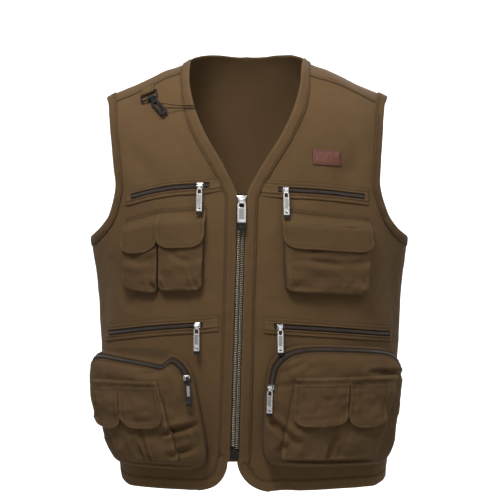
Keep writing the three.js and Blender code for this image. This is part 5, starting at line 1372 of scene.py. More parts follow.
# %% [markdown]
# ## Cargo bags
# At the hem hang two deep bags with a zip over the top, bulging as if half filled. Seen from the front a
# bag is a rounded square; its height over the panel grows from the sewn edge, steeply below and on the
# outer side, slowly towards the zip. The right bag's mouth sags. Long dents where the cloth buckles inward,
# and small creases, are added to that height.

# %% Bag form
CARGO_BAGS = {  # inward way, turns below, turns above, z below, z above, sag of the mouth, sectors of the zip
    "right": (1, (-72, -17.5), (-89, -22), (-598, -603), (-426, -419), 18, (2, 11)),
    "left": (-1, (3, 70), (6.5, 76), (-596, -600), (-409, -424), 0, (1, 11)),
}
BAG_SECTORS = 28
BAG_RISES = np.array([  # share from the middle to the sewn edge, height at the top, height at the bottom
    (0, 30, 30), (0.45, 28, 31), (0.74, 23, 29), (0.89, 15, 25), (0.968, 9, 17), (0.988, 6, 11),
    (1, 1.5, 1.5),
], float)
BAG_DENTS = {  # ends as (u, v) with u towards the centre front, width, depth
    "right": [((0.46, -0.34), (1.06, -0.18), 0.042, 9.0), ((0.50, -0.70), (0.90, -0.56), 0.045, 6.0),
              ((0.62, 0.80), (0.34, 0.66), 0.07, 4.0), ((0.74, 0.55), (0.60, 0.05), 0.05, 3.0),
              ((0.90, -0.30), (0.96, -0.62), 0.035, 3.0), ((0.85, -0.87), (-0.40, -0.89), 0.03, 3.5),
              ((0.80, 0.20), (0.72, -0.12), 0.04, 2.5)],
    "left": [((1.08, -0.06), (0.58, -0.58), 0.045, 6.5), ((0.84, 0.52), (0.58, 0.72), 0.03, 3.0),
             ((0.90, 0.28), (0.64, 0.40), 0.035, 3.0), ((0.60, 0.78), (0.52, 0.58), 0.03, 2.5),
             ((-0.20, 0.60), (-0.95, 0.56), 0.045, 4.0), ((0.85, -0.84), (-0.50, -0.87), 0.028, 3.5),
             ((0.60, -0.95), (-0.80, -0.96), 0.025, 3.0), ((0.72, -0.55), (0.86, -0.78), 0.035, 3.0)],
}


def bag_power(angle):
    """How square the outline is: rounder above, squarer below."""
    return 4.5 + 3.0 * step_up(-np.sin(angle), 0.1, 0.6)


def bag_steep(angle):
    """Share of the steeper of the two rises: more below and on the outer side."""
    return np.clip(0.5 - 0.9 * np.sin(angle) + 0.9 * np.maximum(-np.cos(angle), 0), 0, 1)


def bag_height(share, angle):
    """Height of a bag over the panel at a share of the way out and an angle round its middle."""
    return lerp(curve(BAG_RISES, 1, share), curve(BAG_RISES, 2, share), bag_steep(angle))


def bag_outline(share, angle):
    """Shares u and v at a share of the way out: a circle drawn towards a square by its power."""
    c, s, power = np.cos(angle), np.sin(angle), bag_power(angle)
    reach = share * (np.abs(c) ** power + np.abs(s) ** power) ** (-1 / power)
    return reach * c, reach * s


def bag_place(bag, u, v):
    """Place of a bag at shares from -1 to 1: u towards the centre front, v up."""
    inward, low, high, bottom, top, *_ = bag
    across, up = (1 + u * inward) / 2, (1 + v) / 2
    phi = lerp(lerp(low[0], low[1], across), lerp(high[0], high[1], across), up)
    z = lerp(lerp(bottom[0], bottom[1], across), lerp(top[0], top[1], across), up)
    return place_turned(np.radians(phi), z)


def bag_drop(bag, u, v):
    """Share by which the mouth sags: deeper towards the centre front, and none beside its inner end."""
    dip = np.clip((u + 0.75) / 1.35, 0, 1) ** 1.2 * (1 - step_up(u, 0.58, 0.80))
    return 2 * bag[5] * dip * (np.clip(v, 0, 0.86) / 0.86) ** 3 / (bag[4][0] - bag[3][0])


def bag_shares(bag, phi, psi):
    """Shares u and v of a bag at a place, the other way round, found in a few rounds."""
    inward, low, high, bottom, top, *_ = bag
    turn, z = np.degrees(phi), form_point(phi, psi)[..., 2]
    across = 0.5 + 0 * turn
    for _ in range(8):
        floor, roof = lerp(bottom[0], bottom[1], across), lerp(top[0], top[1], across)
        up = (z - floor) / (roof - floor)
        right, left = lerp(low[0], high[0], up), lerp(low[1], high[1], up)
        across = (turn - right) / (left - right)
    u, v = (2 * across - 1) * inward, 2 * up - 1
    return u, v + bag_drop(bag, u, v)


def bag_buckle(side, u, v, share, form):
    """Dents and creases, fading out at the sewn edge."""
    total = 0.9 * ripple(form, 46, 81, (1, 1, 1)) + 0.32 * ripple(form, 16, 82)
    for start, end, width, depth in BAG_DENTS[side]:
        away, t = line_distance(u, v, start, end)
        taper = depth * np.sqrt(4 * t * (1 - t) + 0.02)
        total = total + taper * (0.45 * bell(away / width, 2.0, 0.9) - bell(away, 0, width))
    return total * step_up(1 - share, 0.0, 0.10)


def bag_over(side, phi, psi):
    """Lift of a bag's face at a place inside its outline."""
    bag = CARGO_BAGS[side]
    u, v = bag_shares(bag, phi, psi)
    angle = np.arctan2(v, u)
    power = bag_power(angle)
    share = np.clip((np.abs(u) ** power + np.abs(v) ** power) ** (1 / power), 0, 1)
    return PANEL_WALL + bag_height(share, angle) + bag_buckle(side, u, v, share, form_point(phi, psi))


def bag_polar(side, share, angle, over=0.0):
    """Point and place of a bag in rings: share of the way out, and angle from the inner side."""
    bag = CARGO_BAGS[side]
    u, v = bag_outline(share, angle)
    loose = step_up(1 - share, 0.0, 0.012)
    phi, psi = bag_place(bag, u, v - bag_drop(bag, u, v) * loose)
    rest = lerp(panel_lift(phi, psi), PANEL_WALL, loose)
    buckle = bag_buckle(side, u, v, share + 0 * angle, form_point(phi, psi))
    return cloth_point(phi, psi, rest + bag_height(share, angle) + buckle + over), phi, psi


# %% Bags and their zips
ZIP_OUT, ZIP_IN = 0.968, 0.89
ZIP_CELLS = slice(7, 11)  # rows of cells that the zip's opening takes
BAG_FLAT = (0.25, 0.26)
bag_shares_out = np.concatenate([[1, 0.997, 0.993, 0.988, 0.982, 0.976, 0.972, ZIP_OUT], [0.95, 0.93, 0.91],
                                 [ZIP_IN, 0.885, 0.878, 0.868], np.linspace(0.85, 0.06, 36)])[:, None]
BAG_FINE = 5
bag_angles = np.arange(BAG_SECTORS * BAG_FINE)[None] * 2 * np.pi / (BAG_SECTORS * BAG_FINE)


def bag_seam_shape(bag, share, angle):
    """Lips beside the zip, and where there is no zip a piped edge with a stitched groove inside it."""
    turn = np.mod(angle, 2 * np.pi) * BAG_SECTORS / (2 * np.pi)
    zipped = step_up(turn, bag[6][0] - 0.4, bag[6][0]) * (1 - step_up(turn, bag[6][1], bag[6][1] + 0.4))
    lips = 0.7 * (bell(share, ZIP_OUT + 0.004, 0.005) + bell(share, ZIP_IN - 0.006, 0.007))
    piping = 0.35 * bell(share, 0.975, 0.008) - 0.25 * bell(share, 0.95, 0.010)
    return zipped * lips + (1 - zipped) * piping, zipped


def cargo_bag(side):
    """Bag in rings from the sewn edge to a middle point, with the zip's opening left out."""
    bag, share = CARGO_BAGS[side], bag_shares_out
    shape, zipped = bag_seam_shape(bag, share, bag_angles)
    grid, phi, psi = bag_polar(side, share, bag_angles, shape)
    rows, columns = psi.shape
    cells = grid_faces(rows, columns, wrap=True)
    sector = np.arange(columns) // BAG_FINE
    hole = np.zeros(cells.shape[:2], bool)
    hole[ZIP_CELLS] = (sector >= bag[6][0]) & (sector < bag[6][1])
    middle_point = bag_polar(side, np.zeros(1), np.zeros(1))[0]
    start = (rows - 1) * columns
    first = np.arange(0, columns, 2)
    fan = (first + start, first + 1 + start, (first + 2) % columns + start, 0 * first + rows * columns)
    points = np.concatenate([grid.reshape(-1, 3), middle_point])
    uv = np.stack([np.append(np.degrees(phi) * 3.6, 0), points[:, 2]], -1) * MM
    beside_zip = bell(share, 0.978, 0.004) + bell(share, 0.872, 0.006)
    seam = 0.9 * bell(share, 1, 0.008) + zipped * 0.6 * beside_zip
    wear = (1 - zipped) * 0.2 * bell(share, 0.972, 0.007) + zipped * 0.15 * bell(share, 0.885, 0.005)
    faces = np.concatenate([cells[~hole], np.stack(fan, -1)])
    piece = cloth_piece(f"{side}_cargo_bag_cloth", points, form_normal(*bag_place(bag, 0.0, 0.0)),
                        SHADED_POCKET_CANVAS, f"{side}_cargo_bag", 1.0, np.append(seam, 0), np.append(wear, 0),
                        faces, uv)
    area = area_of(grid)
    sheet_sizes[piece.name] = (*BAG_FLAT, round(float(area), 4))


def cargo_zip(side):
    """Tape and coil in a bag's opening, and a row of stitches on both sides of it."""
    ends = np.array(CARGO_BAGS[side][6]) * 2 * np.pi / BAG_SECTORS
    angle = np.linspace(ends[0] + 0.012, ends[1] - 0.012, 110)[None]
    t = np.linspace(0.05, 0.95, 9)[:, None]
    tape, phi, psi = bag_polar(side, lerp(ZIP_OUT, ZIP_IN, t), angle, -0.35)
    cloth_piece(f"{side}_cargo_zip_tape", tape, form_normal(phi, psi), TAPE, f"{side}_cargo_zip", 0.6)
    up = unit(np.cross(tape[-1] - tape[0], np.gradient(tape[4], axis=0)))
    up = turned_out(up, form_normal(phi[4], psi[4]))
    bead_piece(f"{side}_cargo_zip_coil", *coil(tape[4], up), COIL, "tape")
    angle = np.linspace(*ends, 300)
    for share in (0.9785, 0.8725):
        row, phi, psi = bag_polar(side, np.full(300, share), angle, 0.15)
        far = bag_polar(side, np.full(300, share - 0.01), angle, 0.15)[0]
        lean = unit(np.cross(far - row, np.gradient(row, axis=0)))
        stitch_row(side, row, turned_out(lean, form_normal(phi, psi)))


for side in CARGO_BAGS:
    cargo_bag(side)
    cargo_zip(side)
print("bags:", {name: size for name, size in sheet_sizes.items() if "bag" in name})

# %% [markdown]
# ## Patch pockets on the bags
# Each bag carries a double patch pocket. Its lower edge is gathered, which leaves short upright puckers,
# and a pleat pinches it between the two halves. Two flaps hang from a stitched line below its upper edge.

# %% Patch pockets and flaps
PATCHES = {  # turns below, turns above, bottom, top, depth
    "right": ((-59, -28), (-71, -34.5), -584, -466, 6),
    "left": ((10, 54), (16, 65), -582, -460, 6),
}
PATCH_FLAPS = {  # the same, without a depth
    ("right", "outer"): ((-68.5, -52.4), (-70, -53.4), -534, -475),
    ("right", "inner"): ((-51.6, -33), (-52.6, -35.2), -533, -474),
    ("left", "inner"): ((15, 36), (16, 36.4), -529, -468),
    ("left", "outer"): ((36.8, 54), (37.2, 56), -533, -470),
}
PUCKERS = {"right": (0.32, 0.22), "left": (0.12, 0.16)}  # middle and width of the gathers, as shares across


def turned_corners(low, high, bottom, top):
    """Corners as x and z of a patch given by turns."""
    def corner(degrees, z):
        """x and z at a turn and a height."""
        return float(body(MIDDLE, z) + body(HALF, z) * np.sin(np.radians(degrees))), z
    return corner(low[0], bottom), corner(low[1], bottom), corner(high[0], top), corner(high[1], top)


def patch_lift(side, u, v, form, pleat=1.0):
    """Lift of a patch over its bag: bellows, the pinched pleat, gathers above the lower edge and creases."""
    pinch = 1 - pleat * 0.9 * bell(u, 0.5, 0.04) * (1 - v) ** 0.7
    at, width = PUCKERS[side]
    gather = 3.4 * ripple(form, 10, 91, (1, 1, 0.15), 7) * bell(v, 0.11, 0.13) * bell(u, at, width)
    gather = gather + 2.2 * pleat * np.sin(60 * u) * bell(u, 0.5, 0.12) * bell(v, 0.09, 0.12)
    crease = 0.65 * ripple(form, 38, 92) + 0.22 * ripple(form, 14, 93)
    edge = 0.6 * bell(v, 0.985, 0.03)
    return POCKET_WALL + PATCHES[side][4] * bellows(u, v) * pinch + within(u, v) * (crease + gather) + edge


def patch_over(side, phi, psi, pleat=1.0, hem=0.0):
    """Lift of a patch's face at a place; a flap on it passes over the pleat and the edges."""
    u, v = patch_shares(patch_corners[side], phi, psi, PATCH_ROUND)
    u, v = np.clip(u, hem, 1 - hem), np.clip(v, hem, 1)
    return bag_over(side, phi, psi) + patch_lift(side, u, v, form_point(phi, psi), pleat)


PATCH_STITCH = 0.955
patch_corners = {side: turned_corners(*row[:4]) for side, row in PATCHES.items()}
for side, corners in patch_corners.items():
    u, v = dense(80, 1.5)[None], dense(64, 1.8)[:, None]
    places = patch_places(corners, u, v, PATCH_ROUND)
    grid = cloth_point(*places, bag_over(side, *places) + patch_lift(side, u, v, form_point(*places)))
    inset = np.minimum(np.minimum(u, 1 - u), v)
    seam = 0.9 * bell(inset, 0, 0.012) + 0.6 * bell(v, PATCH_STITCH, 0.010)
    wear = 0.25 * bell(inset, 0.03, 0.012) + 0.4 * bell(v, 0.99, 0.014)
    piece = cloth_piece(f"{side}_cargo_patch_cloth", grid, form_normal(*places), SHADED_POCKET_CANVAS,
                        f"{side}_cargo_patch_pocket", 1.0, seam, wear)
    declare_sheet(piece, grid)
    top_u = np.linspace(0.02, 0.98, 90)
    sew(side, *patch_places(corners, top_u, 0 * top_u + PATCH_STITCH, PATCH_ROUND),
        lambda p, q: patch_over(side, p, q) + 0.1)


def patch_flap_over(side, corners, phi, psi):
    """Lift of a flap on a patch: over the patch, and curling off it towards its lower edge."""
    w = patch_shares(corners, phi, psi, FLAP_ROUND)[1]
    form = form_point(phi, psi)
    crease = 0.3 * ripple(form, 36, 95) + 0.1 * ripple(form, 13, 96)
    stand = 1.9 + 0.8 * step_up(1 - w, 0, 0.25) + 3.6 * bell(w, 0, 0.11)
    return patch_over(side, phi, psi, 0.15, 0.14) + stand + crease * step_up(1 - w, 0, 0.3)


for (side, which), row in PATCH_FLAPS.items():
    corners = turned_corners(*row)
    flap_piece(f"{side}_cargo_{which}_flap", corners, lambda p, q: patch_flap_over(side, corners, p, q),
               side)
print("patch flaps:", list(PATCH_FLAPS))

# %% [markdown]
# ## Front zip
# Two tapes run down the open front edges, with brass teeth that mesh along the middle. One tooth is a short
# bead from a wide root to a narrow head; the two rows stand half a pitch apart. The box at the foot is hard
# plastic.

# %% Front zip tapes and teeth
ZIP_LOW, ZIP_HIGH = -572, -196
TOOTH_PITCH, TOOTH_ROOT = 2.7, 2.5


def zip_place(off, z, lift):
    """Point beside the centre line of the front, off to a side, and its direction outward."""
    places = place_at(centre(z) + off, z)
    return cloth_point(*places, lift), form_normal(*places)


tooth = bead([(-2.3, 0.45, 0.75, 0), (-1.6, 0.66, 1.2, 0), (0.6, 0.66, 1.2, 0), (1.2, 0.5, 1.05, 0),
              (2.0, 0.7, 1.1, 0), (2.7, 0.6, 0.95, 0), (3.0, 0.35, 0.6, 0)], 6)
for way, half in ((-1, "right"), (1, "left")):
    off, z = np.linspace(0.6, 10.5, 14)[:, None], np.linspace(ZIP_LOW - 4, ZIP_HIGH + 6, 130)[None]
    lift = lerp(0.35, -0.9, step_up(off, 4.0, 6.2)) + 0.45 * bell(off, 3.2, 1.0)
    grid, out = zip_place(way * off, z, lift + 0 * z)
    cloth_piece(f"front_zip_{half}_tape", grid, out, TAPE, f"front_zip_{half}_half", 0.7)
    z = np.linspace(ZIP_LOW + 1, ZIP_HIGH - 14, 400)
    path, out = zip_place(way * TOOTH_ROOT, z, 1.35)
    spots, along, across, up = path_frames(path, out, TOOTH_PITCH, TOOTH_PITCH * (0.25 if way > 0 else 0.75))
    teeth = repeated(tooth, spots, -way * across, -way * along, up)
    bead_piece(f"front_zip_{half}_teeth", *teeth, BRASS, "teeth")
print("teeth in a row:", len(spots))

# %% [markdown]
# ## Hard plates
# Sliders, pulls and the hook are small plates with rounded edges and sometimes a window. A flat curve with
# an inner loop is filled, thickened and bevelled, then turned into a mesh and moved into its frame.

# %% Plates, rods and rings
def outline_of(corners, radius, steps=5):
    """A closed outline with rounded corners: at each corner an arc that touches both sides."""
    corners = np.asarray(corners, float)
    before, after = np.roll(corners, 1, 0), np.roll(corners, -1, 0)
    radius = np.broadcast_to(radius, len(corners))[:, None]
    start, end = corners + unit(before - corners) * radius, corners + unit(after - corners) * radius
    t = np.linspace(0, 1, steps)[None, :, None]
    arc = (1 - t) ** 2 * start[:, None] + 2 * t * (1 - t) * corners[:, None] + t**2 * end[:, None]
    return arc.reshape(-1, 2)


def faces_out(mesh, weld=0.0):
    """Turns a closed mesh's faces outward, after points within the weld distance are joined."""
    work = bmesh.new()
    work.from_mesh(mesh)
    if weld:
        bmesh.ops.remove_doubles(work, verts=work.verts, dist=weld)
        bmesh.ops.dissolve_degenerate(work, edges=work.edges, dist=weld)
    bmesh.ops.recalc_face_normals(work, faces=work.faces)
    work.to_mesh(mesh)
    work.free()


def plate(outlines, thick, bevel, rounds=2):
    """Vertices and faces of a plate in (x, z) with its middle at y = 0; further outlines are windows."""
    flat = bpy.data.curves.new("outline", "CURVE")
    flat.dimensions, flat.fill_mode = "2D", "BOTH"
    flat.extrude, flat.bevel_depth, flat.offset = thick / 2 - bevel, bevel, -bevel
    flat.bevel_resolution = rounds
    for line in outlines:
        spline = flat.splines.new("POLY")
        spline.points.add(len(line) - 1)
        spline.points.foreach_set("co", np.column_stack([line, 0 * line[:, 0], 0 * line[:, 0] + 1]).ravel())
        spline.use_cyclic_u = True
    holder = bpy.data.objects.new("outline", flat)
    mesh = bpy.data.meshes.new_from_object(holder)
    faces_out(mesh, 1e-4)
    verts, corners = np.empty(3 * len(mesh.vertices)), np.empty(len(mesh.loops), int)
    starts = np.empty(len(mesh.polygons), int)
    mesh.vertices.foreach_get("co", verts)
    mesh.loops.foreach_get("vertex_index", corners)
    mesh.polygons.foreach_get("loop_start", starts)
    faces = [face.tolist() for face in np.split(corners, starts[1:])]
    bpy.data.objects.remove(holder)
    bpy.data.curves.remove(flat)
    bpy.data.meshes.remove(mesh)
    return verts.reshape(-1, 3)[:, [0, 2, 1]] * (1, -1, 1), faces


def rod(path, radius, sides=12, closed=False, ends=0.5):
    """A round bar along a path: rings across it, with a smaller ring and a cap at each free end."""
    path = np.asarray(path, float)
    along = unit(np.roll(path, -1, 0) - np.roll(path, 1, 0)) if closed else unit(np.gradient(path, axis=0))
    helper = np.array([0.0, 1.0, 0.0]) if abs(along[:, 1]).max() < 0.9 else np.array([0.0, 0.0, 1.0])
    side = unit(np.cross(along, helper))
    up = np.cross(side, along)
    radius = np.full(len(path), float(radius))
    if not closed:
        path = np.concatenate([path[:1], path, path[-1:]])
        path[1] += along[0] * ends * radius[0]
        path[-2] -= along[-1] * ends * radius[0]
        side, up = side[[0, *range(len(side)), -1]], up[[0, *range(len(up)), -1]]
        radius = np.concatenate([[radius[0] * 0.6], radius, [radius[0] * 0.6]])
    turn = np.arange(sides) * 2 * np.pi / sides
    ring = np.cos(turn)[:, None] * side[:, None] + np.sin(turn)[:, None] * up[:, None]
    verts = (path[:, None] + ring * radius[:, None, None]).reshape(-1, 3)
    faces = grid_faces(len(path), sides, wrap=True, closed=closed).reshape(-1, 4).tolist()
    if not closed:
        faces.append(list(range(sides))[::-1])
        faces.append(list(range(len(verts) - sides, len(verts))))
    return verts, faces


def sleeve(radius, hole, length, sides=32, bevel=0.3):
    """A ring round the x axis: its cross section, a bevelled rectangle, turned about the axis."""
    half, inner = length / 2, length / 2 - bevel
    section = np.array([(inner, radius), (half, radius - bevel), (half, hole + bevel), (inner, hole),
                        (-inner, hole), (-half, hole + bevel), (-half, radius - bevel), (-inner, radius)])
    turn = np.arange(sides) * 2 * np.pi / sides
    verts = np.stack([np.broadcast_to(section[:, 0], (sides, 8)), np.sin(turn)[:, None] * section[:, 1],
                      np.cos(turn)[:, None] * section[:, 1]], -1)
    faces = grid_faces(sides, 8, wrap=True, closed=True).reshape(-1, 4)
    return verts.reshape(-1, 3), faces.tolist()


def hard_piece(name, solids, frame_of, material, node, body="vest"):
    """One object from closed solids in a frame; a solid is (verts, faces) or (verts, faces, material)."""
    verts = np.concatenate([solid[0] for solid in solids])
    starts = np.cumsum([0] + [len(solid[0]) for solid in solids[:-1]])
    faces = [[int(start) + index for index in face] for solid, start in zip(solids, starts)
             for face in solid[1]]
    mesh = bpy.data.meshes.new(name)
    mesh.from_pydata((from_frame(frame_of, verts) * MM).tolist(), [], faces)
    kinds = [material] + list(dict.fromkeys(solid[2] for solid in solids if len(solid) > 2))
    which = np.repeat([kinds.index(solid[2]) if len(solid) > 2 else 0 for solid in solids],
                      [len(solid[1]) for solid in solids])
    faces_out(mesh)
    piece = add_object(name, mesh)
    for kind in kinds:
        mesh.materials.append(kind)
    mesh.polygons.foreach_set("material_index", which)
    mesh.polygons.foreach_set("use_smooth", np.ones(len(mesh.polygons), bool))
    mesh.set_sharp_from_angle(angle=np.radians(40))
    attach(piece, body)
    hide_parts(node)


def block(width, tall, middle, corner=1.0):
    """Outline of a rounded rectangle round (x, z)."""
    x, z = middle
    return outline_of([(x - width / 2, z - tall / 2), (x + width / 2, z - tall / 2),
                       (x + width / 2, z + tall / 2), (x - width / 2, z + tall / 2)], corner)


def moved(solid, move):
    """A solid set off by a move."""
    return (solid[0] + np.asarray(move, float), *solid[1:])


# %% [markdown]
# ## Sliders and pulls
# Seven pulls hang from their sliders on a small cross rod. The hinges are in the shared frame, so each
# slider's place follows from its hinge. A pull is a long plate with a window at the top, a raised panel and
# a rubbery dark tip; it belongs to its own body and turns with it.

# %% Slider and pull shapes
POCKET_SLIDER, FRONT_SLIDER = (9.5, 3.0, 8.4, 0.0), (12.0, 3.6, 12.0, 2.2)  # along, thick, tall, crown
POCKET_PULL, FRONT_PULL = (8.6, 43.0, -38.0, -34.6), (12.6, 46.0, -34.0, -39.0)  # width, length, tip, slot
ROD_RADIUS, ROD_UP, PULL_THICK = 0.8, 2.8, 1.6
EAR_X, EAR_THICK, EAR_HALF = 3.2, 1.2, 1.5


def slider_solids(size):
    """Body plate with a crown, two ears and the rod between them; y = 0 on the zip, out is -y."""
    along, thick, tall, crown = size
    half, top, out = along / 2, tall / 2, -thick - ROD_UP
    base = outline_of([(-half, -top), (half, -top), (half, 0), (half + crown, top - 1), (half + crown, top),
                       (-half - crown, top), (-half - crown, top - 1), (-half, 0)],
                      (1, 1, 1, 0.3, 0.6, 0.6, 0.3, 1))
    solids = [moved(plate([base], thick * 0.62, 0.8, 3), (0, -thick * 0.31, 0)),
              moved(plate([base * 0.84], thick * 0.9, 1.3, 4), (0, -thick * 0.55, 0))]
    for way in (-1, 1):
        ear = outline_of([(out - EAR_HALF, -EAR_HALF), (-thick + 0.4, -2.1), (-thick + 0.4, 2.1),
                          (out - EAR_HALF, EAR_HALF)], (1.4, 0.3, 0.3, 1.4))
        verts, faces = plate([ear], EAR_THICK, 0.25)
        solids.append((np.stack([verts[:, 1] + way * EAR_X, verts[:, 0], verts[:, 2]], -1), faces))
    bar = np.column_stack([np.linspace(-EAR_X, EAR_X, 5), np.full(5, out), np.zeros(5)])
    return [*solids, rod(bar, ROD_RADIUS)]


def pull_solids(width, length, tip, slot_at):
    """Knuckle round the rod, plate with a window, raised panel, and a dark tip with a notch; z down."""
    half = width / 2
    body_line = outline_of([(-2.2, -1.5), (2.2, -1.5), (2.2, -3.8), (half, -6.2), (half, tip), (-half, tip),
                            (-half, -6.2), (-2.2, -3.8)], (0.3, 0.3, 0.8, 1.2, 0.4, 0.4, 1.2, 0.8))
    window = block(width * 0.58, 6.4, (0, -8.8), 0.9)
    end_line = outline_of([(-half, tip + 0.3), (half, tip + 0.3), (half, -length), (half * 0.35, -length),
                           (0, -length + 2), (-half * 0.35, -length), (-half, -length)],
                          (0.3, 0.3, 1.5, 0.5, 0.6, 0.5, 1.5))
    slot = block(width * 0.46, 2.0, (0, slot_at), 0.6)
    body_cuts, end_cuts = ([window, slot], []) if slot_at > tip else ([window], [slot])
    middle = (0, -13.0 - length * 0.18)
    panel = block(width * 0.56, length * 0.36, middle, 0.9)
    rim = block(width * 0.56 + 1.8, length * 0.36 + 1.8, middle, 1.5)
    return [
        sleeve(2.0, 1.25, 4.4),
        plate([body_line, *body_cuts], PULL_THICK, 0.35),
        moved(plate([rim, panel], 0.9, 0.25), (0, -PULL_THICK / 2, 0)),
        (*moved(plate([panel * (0.98, 1)], 0.9, 0.2), (0, -PULL_THICK / 2 + 0.3, 0)), PANEL_METAL),
        (*plate([end_line, *end_cuts], PULL_THICK * 1.08, 0.4), PLASTIC),
    ]


# %% Sliders and pulls in place
SLIDERS = {name: (POCKET_SLIDER, POCKET_PULL, zip_row[5]) for name, zip_row in POCKET_ZIPS.items()}
SLIDERS |= {"right_cargo": (POCKET_SLIDER, POCKET_PULL, 0), "left_cargo": (POCKET_SLIDER, POCKET_PULL, 0),
            "front": (FRONT_SLIDER, FRONT_PULL, 0)}


def cargo_slider(side):
    """Outward direction where a cargo zip's slider stands, on the coarse rings of the solid model."""
    bag = CARGO_BAGS[side]
    angle = np.array([bag[6][0], bag[6][0] + 1]) * 2 * np.pi / BAG_SECTORS
    rings = []
    for share in (ZIP_OUT, ZIP_IN):
        u, v = bag_outline(share, angle)
        phi, psi = bag_place(bag, u, v - bag_drop(bag, u, v))
        rings.append(cloth_point(phi, psi, PANEL_WALL + bag_height(share, angle)))
    low, high = (rings[0][0] + rings[1][0]) / 2, (rings[0][1] + rings[1][1]) / 2
    out = unit(np.cross(high - low, rings[1][0] - rings[0][0]))
    return turned_out(out, form_normal(*bag_place(bag, 0.0, 0.0)))


SLIDER_STANDS = 8


def zip_slider(hinge):
    """Outward direction at a pocket zip's slider or the front slider, from the form's normal there."""
    foot = hinge
    for _ in range(5):
        out = form_normal(*place_at(foot[0], foot[2]))
        foot = hinge - out * SLIDER_STANDS
    return out


for name, (size, pull, hang) in SLIDERS.items():
    joint = joints[f"{name}_pull_swing"]
    hinge = np.array(joint["pos_m"]) / MM
    out = cargo_slider(name.split("_")[0]) if name.endswith("cargo") else zip_slider(hinge)
    slider_frame = frame_at(hinge - out * (size[1] + ROD_UP), out)
    miss = np.degrees(np.arccos(min(1, -slider_frame[0][:, 0] @ np.array(joint["axis"]))))
    hard_piece(f"{name}_slider_metal", slider_solids(size), slider_frame, POLISHED, f"{name}_slider")
    pull_frame = inside(slider_frame, (0, -size[1] - ROD_UP, 0), turned("x", -hang))
    # painted reflection: the right cargo pull takes the dark copy of the plated zinc
    plating = SHADED_METAL if name == "right_cargo" else METAL
    hard_piece(f"{name}_pull_metal", pull_solids(*pull), pull_frame, plating, f"{name}_pull",
               f"{name}_pull")
    print(name, "slider, axis off by", round(float(miss), 2), "degrees")

box_frame = frame_at(*zip_place(0.0, ZIP_LOW - 7.45, 0.4))
box_line = block(11, 14, (0, 0), 1.6)
hard_piece("front_zip_box_plastic", [moved(plate([box_line], 4, 0.7), (0, -2, 0)),
                                     moved(plate([block(6.5, 4, (0, 2.2), 0.8)], 1.2, 0.3), (0, -4.0, 0))],
           box_frame, PLASTIC, "front_zip_box")

# %% [markdown]
# ## Shoulder tab, ring and hook
# A folded strip of cloth holds a flat ring of black bar, and a hook hangs from the ring by a sleeve. The
# frames are the ones that led the cord.

# %% Shoulder pieces
def tab_section(steps=14):
    """Outside of the folded strip from the side: down the back, round the fold and up the front."""
    turn = np.linspace(0, np.pi, steps)
    low = TAB_OUT - TAB_LENGTH
    fold = np.column_stack([TAB_OUT - TAB_OUT * np.cos(turn), low - TAB_OUT * np.sin(turn)])
    z = np.linspace(0, low, 11)[:-1]
    back, front = np.column_stack([0 * z, z]), np.column_stack([0 * z + 2 * TAB_OUT, z])
    return np.concatenate([back, fold, front[::-1]])


section = tab_section()
tab_x = np.linspace(-TAB_WIDTH / 2, TAB_WIDTH / 2, 22)[:, None]
tab_grid = np.stack([tab_x + 0 * section[:, 0], -section[:, 0] + 0 * tab_x, section[:, 1] + 0 * tab_x], -1)
tab_grid = from_frame(tab_frame, tab_grid)
edge = np.minimum(tab_x + TAB_WIDTH / 2, TAB_WIDTH / 2 - tab_x) + 0 * section[:, 0]
cloth_piece("shoulder_tab_cloth", tab_grid, -tab_frame[0][:, 2], BINDING, "shoulder_tab", TAB_CLOTH,
            0.7 * bell(edge, 2.0, 0.4), 0.5 * bell(edge, 0, 0.6))
face = -2 * TAB_OUT - 0.05
for ends in (((-7.5, -3.0), (7.5, -3.0)), ((-7.5, -2.5), (-7.5, -13.5)), ((7.5, -2.5), (7.5, -13.5))):
    row = np.linspace(*np.array(ends), 20)
    row = from_frame(tab_frame, np.column_stack([row[:, 0], np.full(20, face), row[:, 1]]))
    stitch_row("right", row, np.broadcast_to(-tab_frame[0][:, 1], row.shape), 3.0)

turn = np.radians(np.arange(0, 91, 15))
ring_x, ring_z = RING_WIDTH / 2 - RING_CORNER, RING_HEIGHT - RING_CORNER
corners = [(ring_x, -RING_CORNER, 0), (-ring_x, -RING_CORNER, 90), (-ring_x, -ring_z, 180),
           (ring_x, -ring_z, 270)]
ring_path = np.concatenate([np.column_stack([x + RING_CORNER * np.cos(turn + np.radians(start)), 0 * turn,
                                             z + RING_CORNER * np.sin(turn + np.radians(start))])
                            for x, z, start in corners])
hard_piece("shoulder_ring_bar", [rod(ring_path, RING_WIRE * 1.25, 14, closed=True)], ring_frame, PLASTIC,
           "shoulder_ring")

HOOK_SHOWN = HOOK_LENGTH + 8
hook_line = outline_of([(-3, 0), (-3, -4), (-6.2, -8), (-6.2, -HOOK_SHOWN), (6.2, -HOOK_SHOWN), (6.2, -8),
                        (3, -4), (3, 0)], (0.4, 0.8, 1.5, 5.5, 5.5, 1.5, 0.8, 0.4))
hook_slot = outline_of([(-2.3, -11), (2.3, -11), (2.3, 5 - HOOK_SHOWN), (-2.3, 5 - HOOK_SHOWN)], 1.6)
hook_rim = outline_of([(-3.4, -9.6), (3.4, -9.6), (3.4, 3.6 - HOOK_SHOWN), (-3.4, 3.6 - HOOK_SHOWN)], 2.2)
hook_solids = [plate([hook_line, hook_slot], HOOK_THICK, 0.7, 3),
               plate([hook_rim, hook_slot], HOOK_THICK + 0.5, 0.2)]
hook_turn = turned("y", HOOK_TURN).T
hook_solids = [((verts - (0, 0, HOOK_SEAT)) @ hook_turn, faces) for verts, faces in hook_solids]
hook_solids.append(sleeve(3.7, 1.9, 11, 28, 0.6))
hook_solids += [moved(sleeve(3.95, 3.0, 1.6, 28, 0.3), (x, 0, 0)) for x in (-3.4, 0, 3.4)]
hard_piece("shoulder_hook_plastic", hook_solids, hook_frame, PLASTIC, "shoulder_hook")

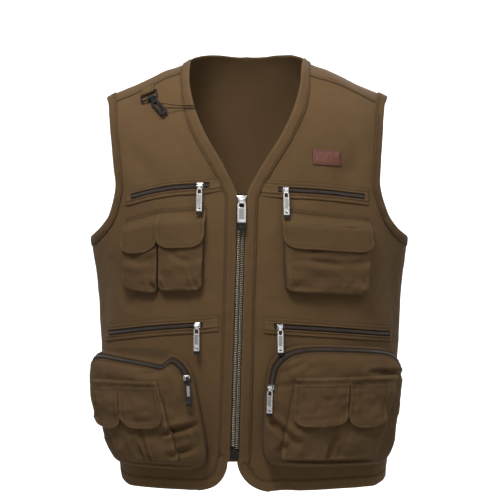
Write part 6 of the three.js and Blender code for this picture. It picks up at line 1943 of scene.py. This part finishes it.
# %% [markdown]
# ## Leather patch
# A small bare patch is sewn on the left chest. Its face is pressed in along a border line, its cut edges
# are darker and slightly rounded, and it lies on the panel.

# %% Leather patch
u, v = dense(60, 1.8)[None], dense(36, 1.8)[:, None]
LEATHER_X, LEATHER_Z, LEATHER_WIDE, LEATHER_TALL, LEATHER_LIFT = 119, -135.0, 42, 23, 0.45 + 1.6
LEATHER_BORDER, LEATHER_LEAN = 2.2, np.sin(np.radians(-3))


def leather_places(x, z):
    """Places at x and z from the middle of the leaning patch."""
    return place_at(LEATHER_X + x + z * LEATHER_LEAN, LEATHER_Z + z + x * LEATHER_LEAN)


places = leather_places((u - 0.5) * LEATHER_WIDE, (v - 0.5) * LEATHER_TALL)
edge = np.minimum(np.minimum(u, 1 - u) * LEATHER_WIDE, np.minimum(v, 1 - v) * LEATHER_TALL)
pressed = 0.5 * bell(edge, 0, 0.5) + 0.3 * bell(edge, LEATHER_BORDER, 0.35)
uneven = 0.12 * ripple(form_point(*places), 9, 101)
grid = cloth_point(*places, panel_lift(*places) + LEATHER_LIFT - pressed + uneven)
cloth_piece("leather_patch_hide", grid, form_normal(*places), LEATHER, "leather_patch", 1.5,
            wear=0.8 * bell(edge, 0, 0.5) + 0.45 * bell(edge, LEATHER_BORDER, 0.4))
rim_x = np.array([-1, 1, 1, -1, -1]) * (LEATHER_WIDE / 2 - LEATHER_BORDER)
rim_z = np.array([-1, -1, 1, 1, -1]) * (LEATHER_TALL / 2 - LEATHER_BORDER)
along = np.linspace(0, 4, 160)
sew("left", *leather_places(*(np.interp(along, np.arange(5), rim) for rim in (rim_x, rim_z))),
    over_panel(LEATHER_LIFT - 0.2), 3.0)
print("leather patch laid on the chest")

# %% [markdown]
# ## Setting down the stitches
# All rows of one area are joined into a single mesh of thread.

# %% Stitches
for area, rows in seams.items():
    verts, faces = joined(rows)
    bead_piece(f"{area}_stitches", verts, faces, THREAD, "cloth")
    print(area, "stitches:", len(faces) // len(STITCH[1]))
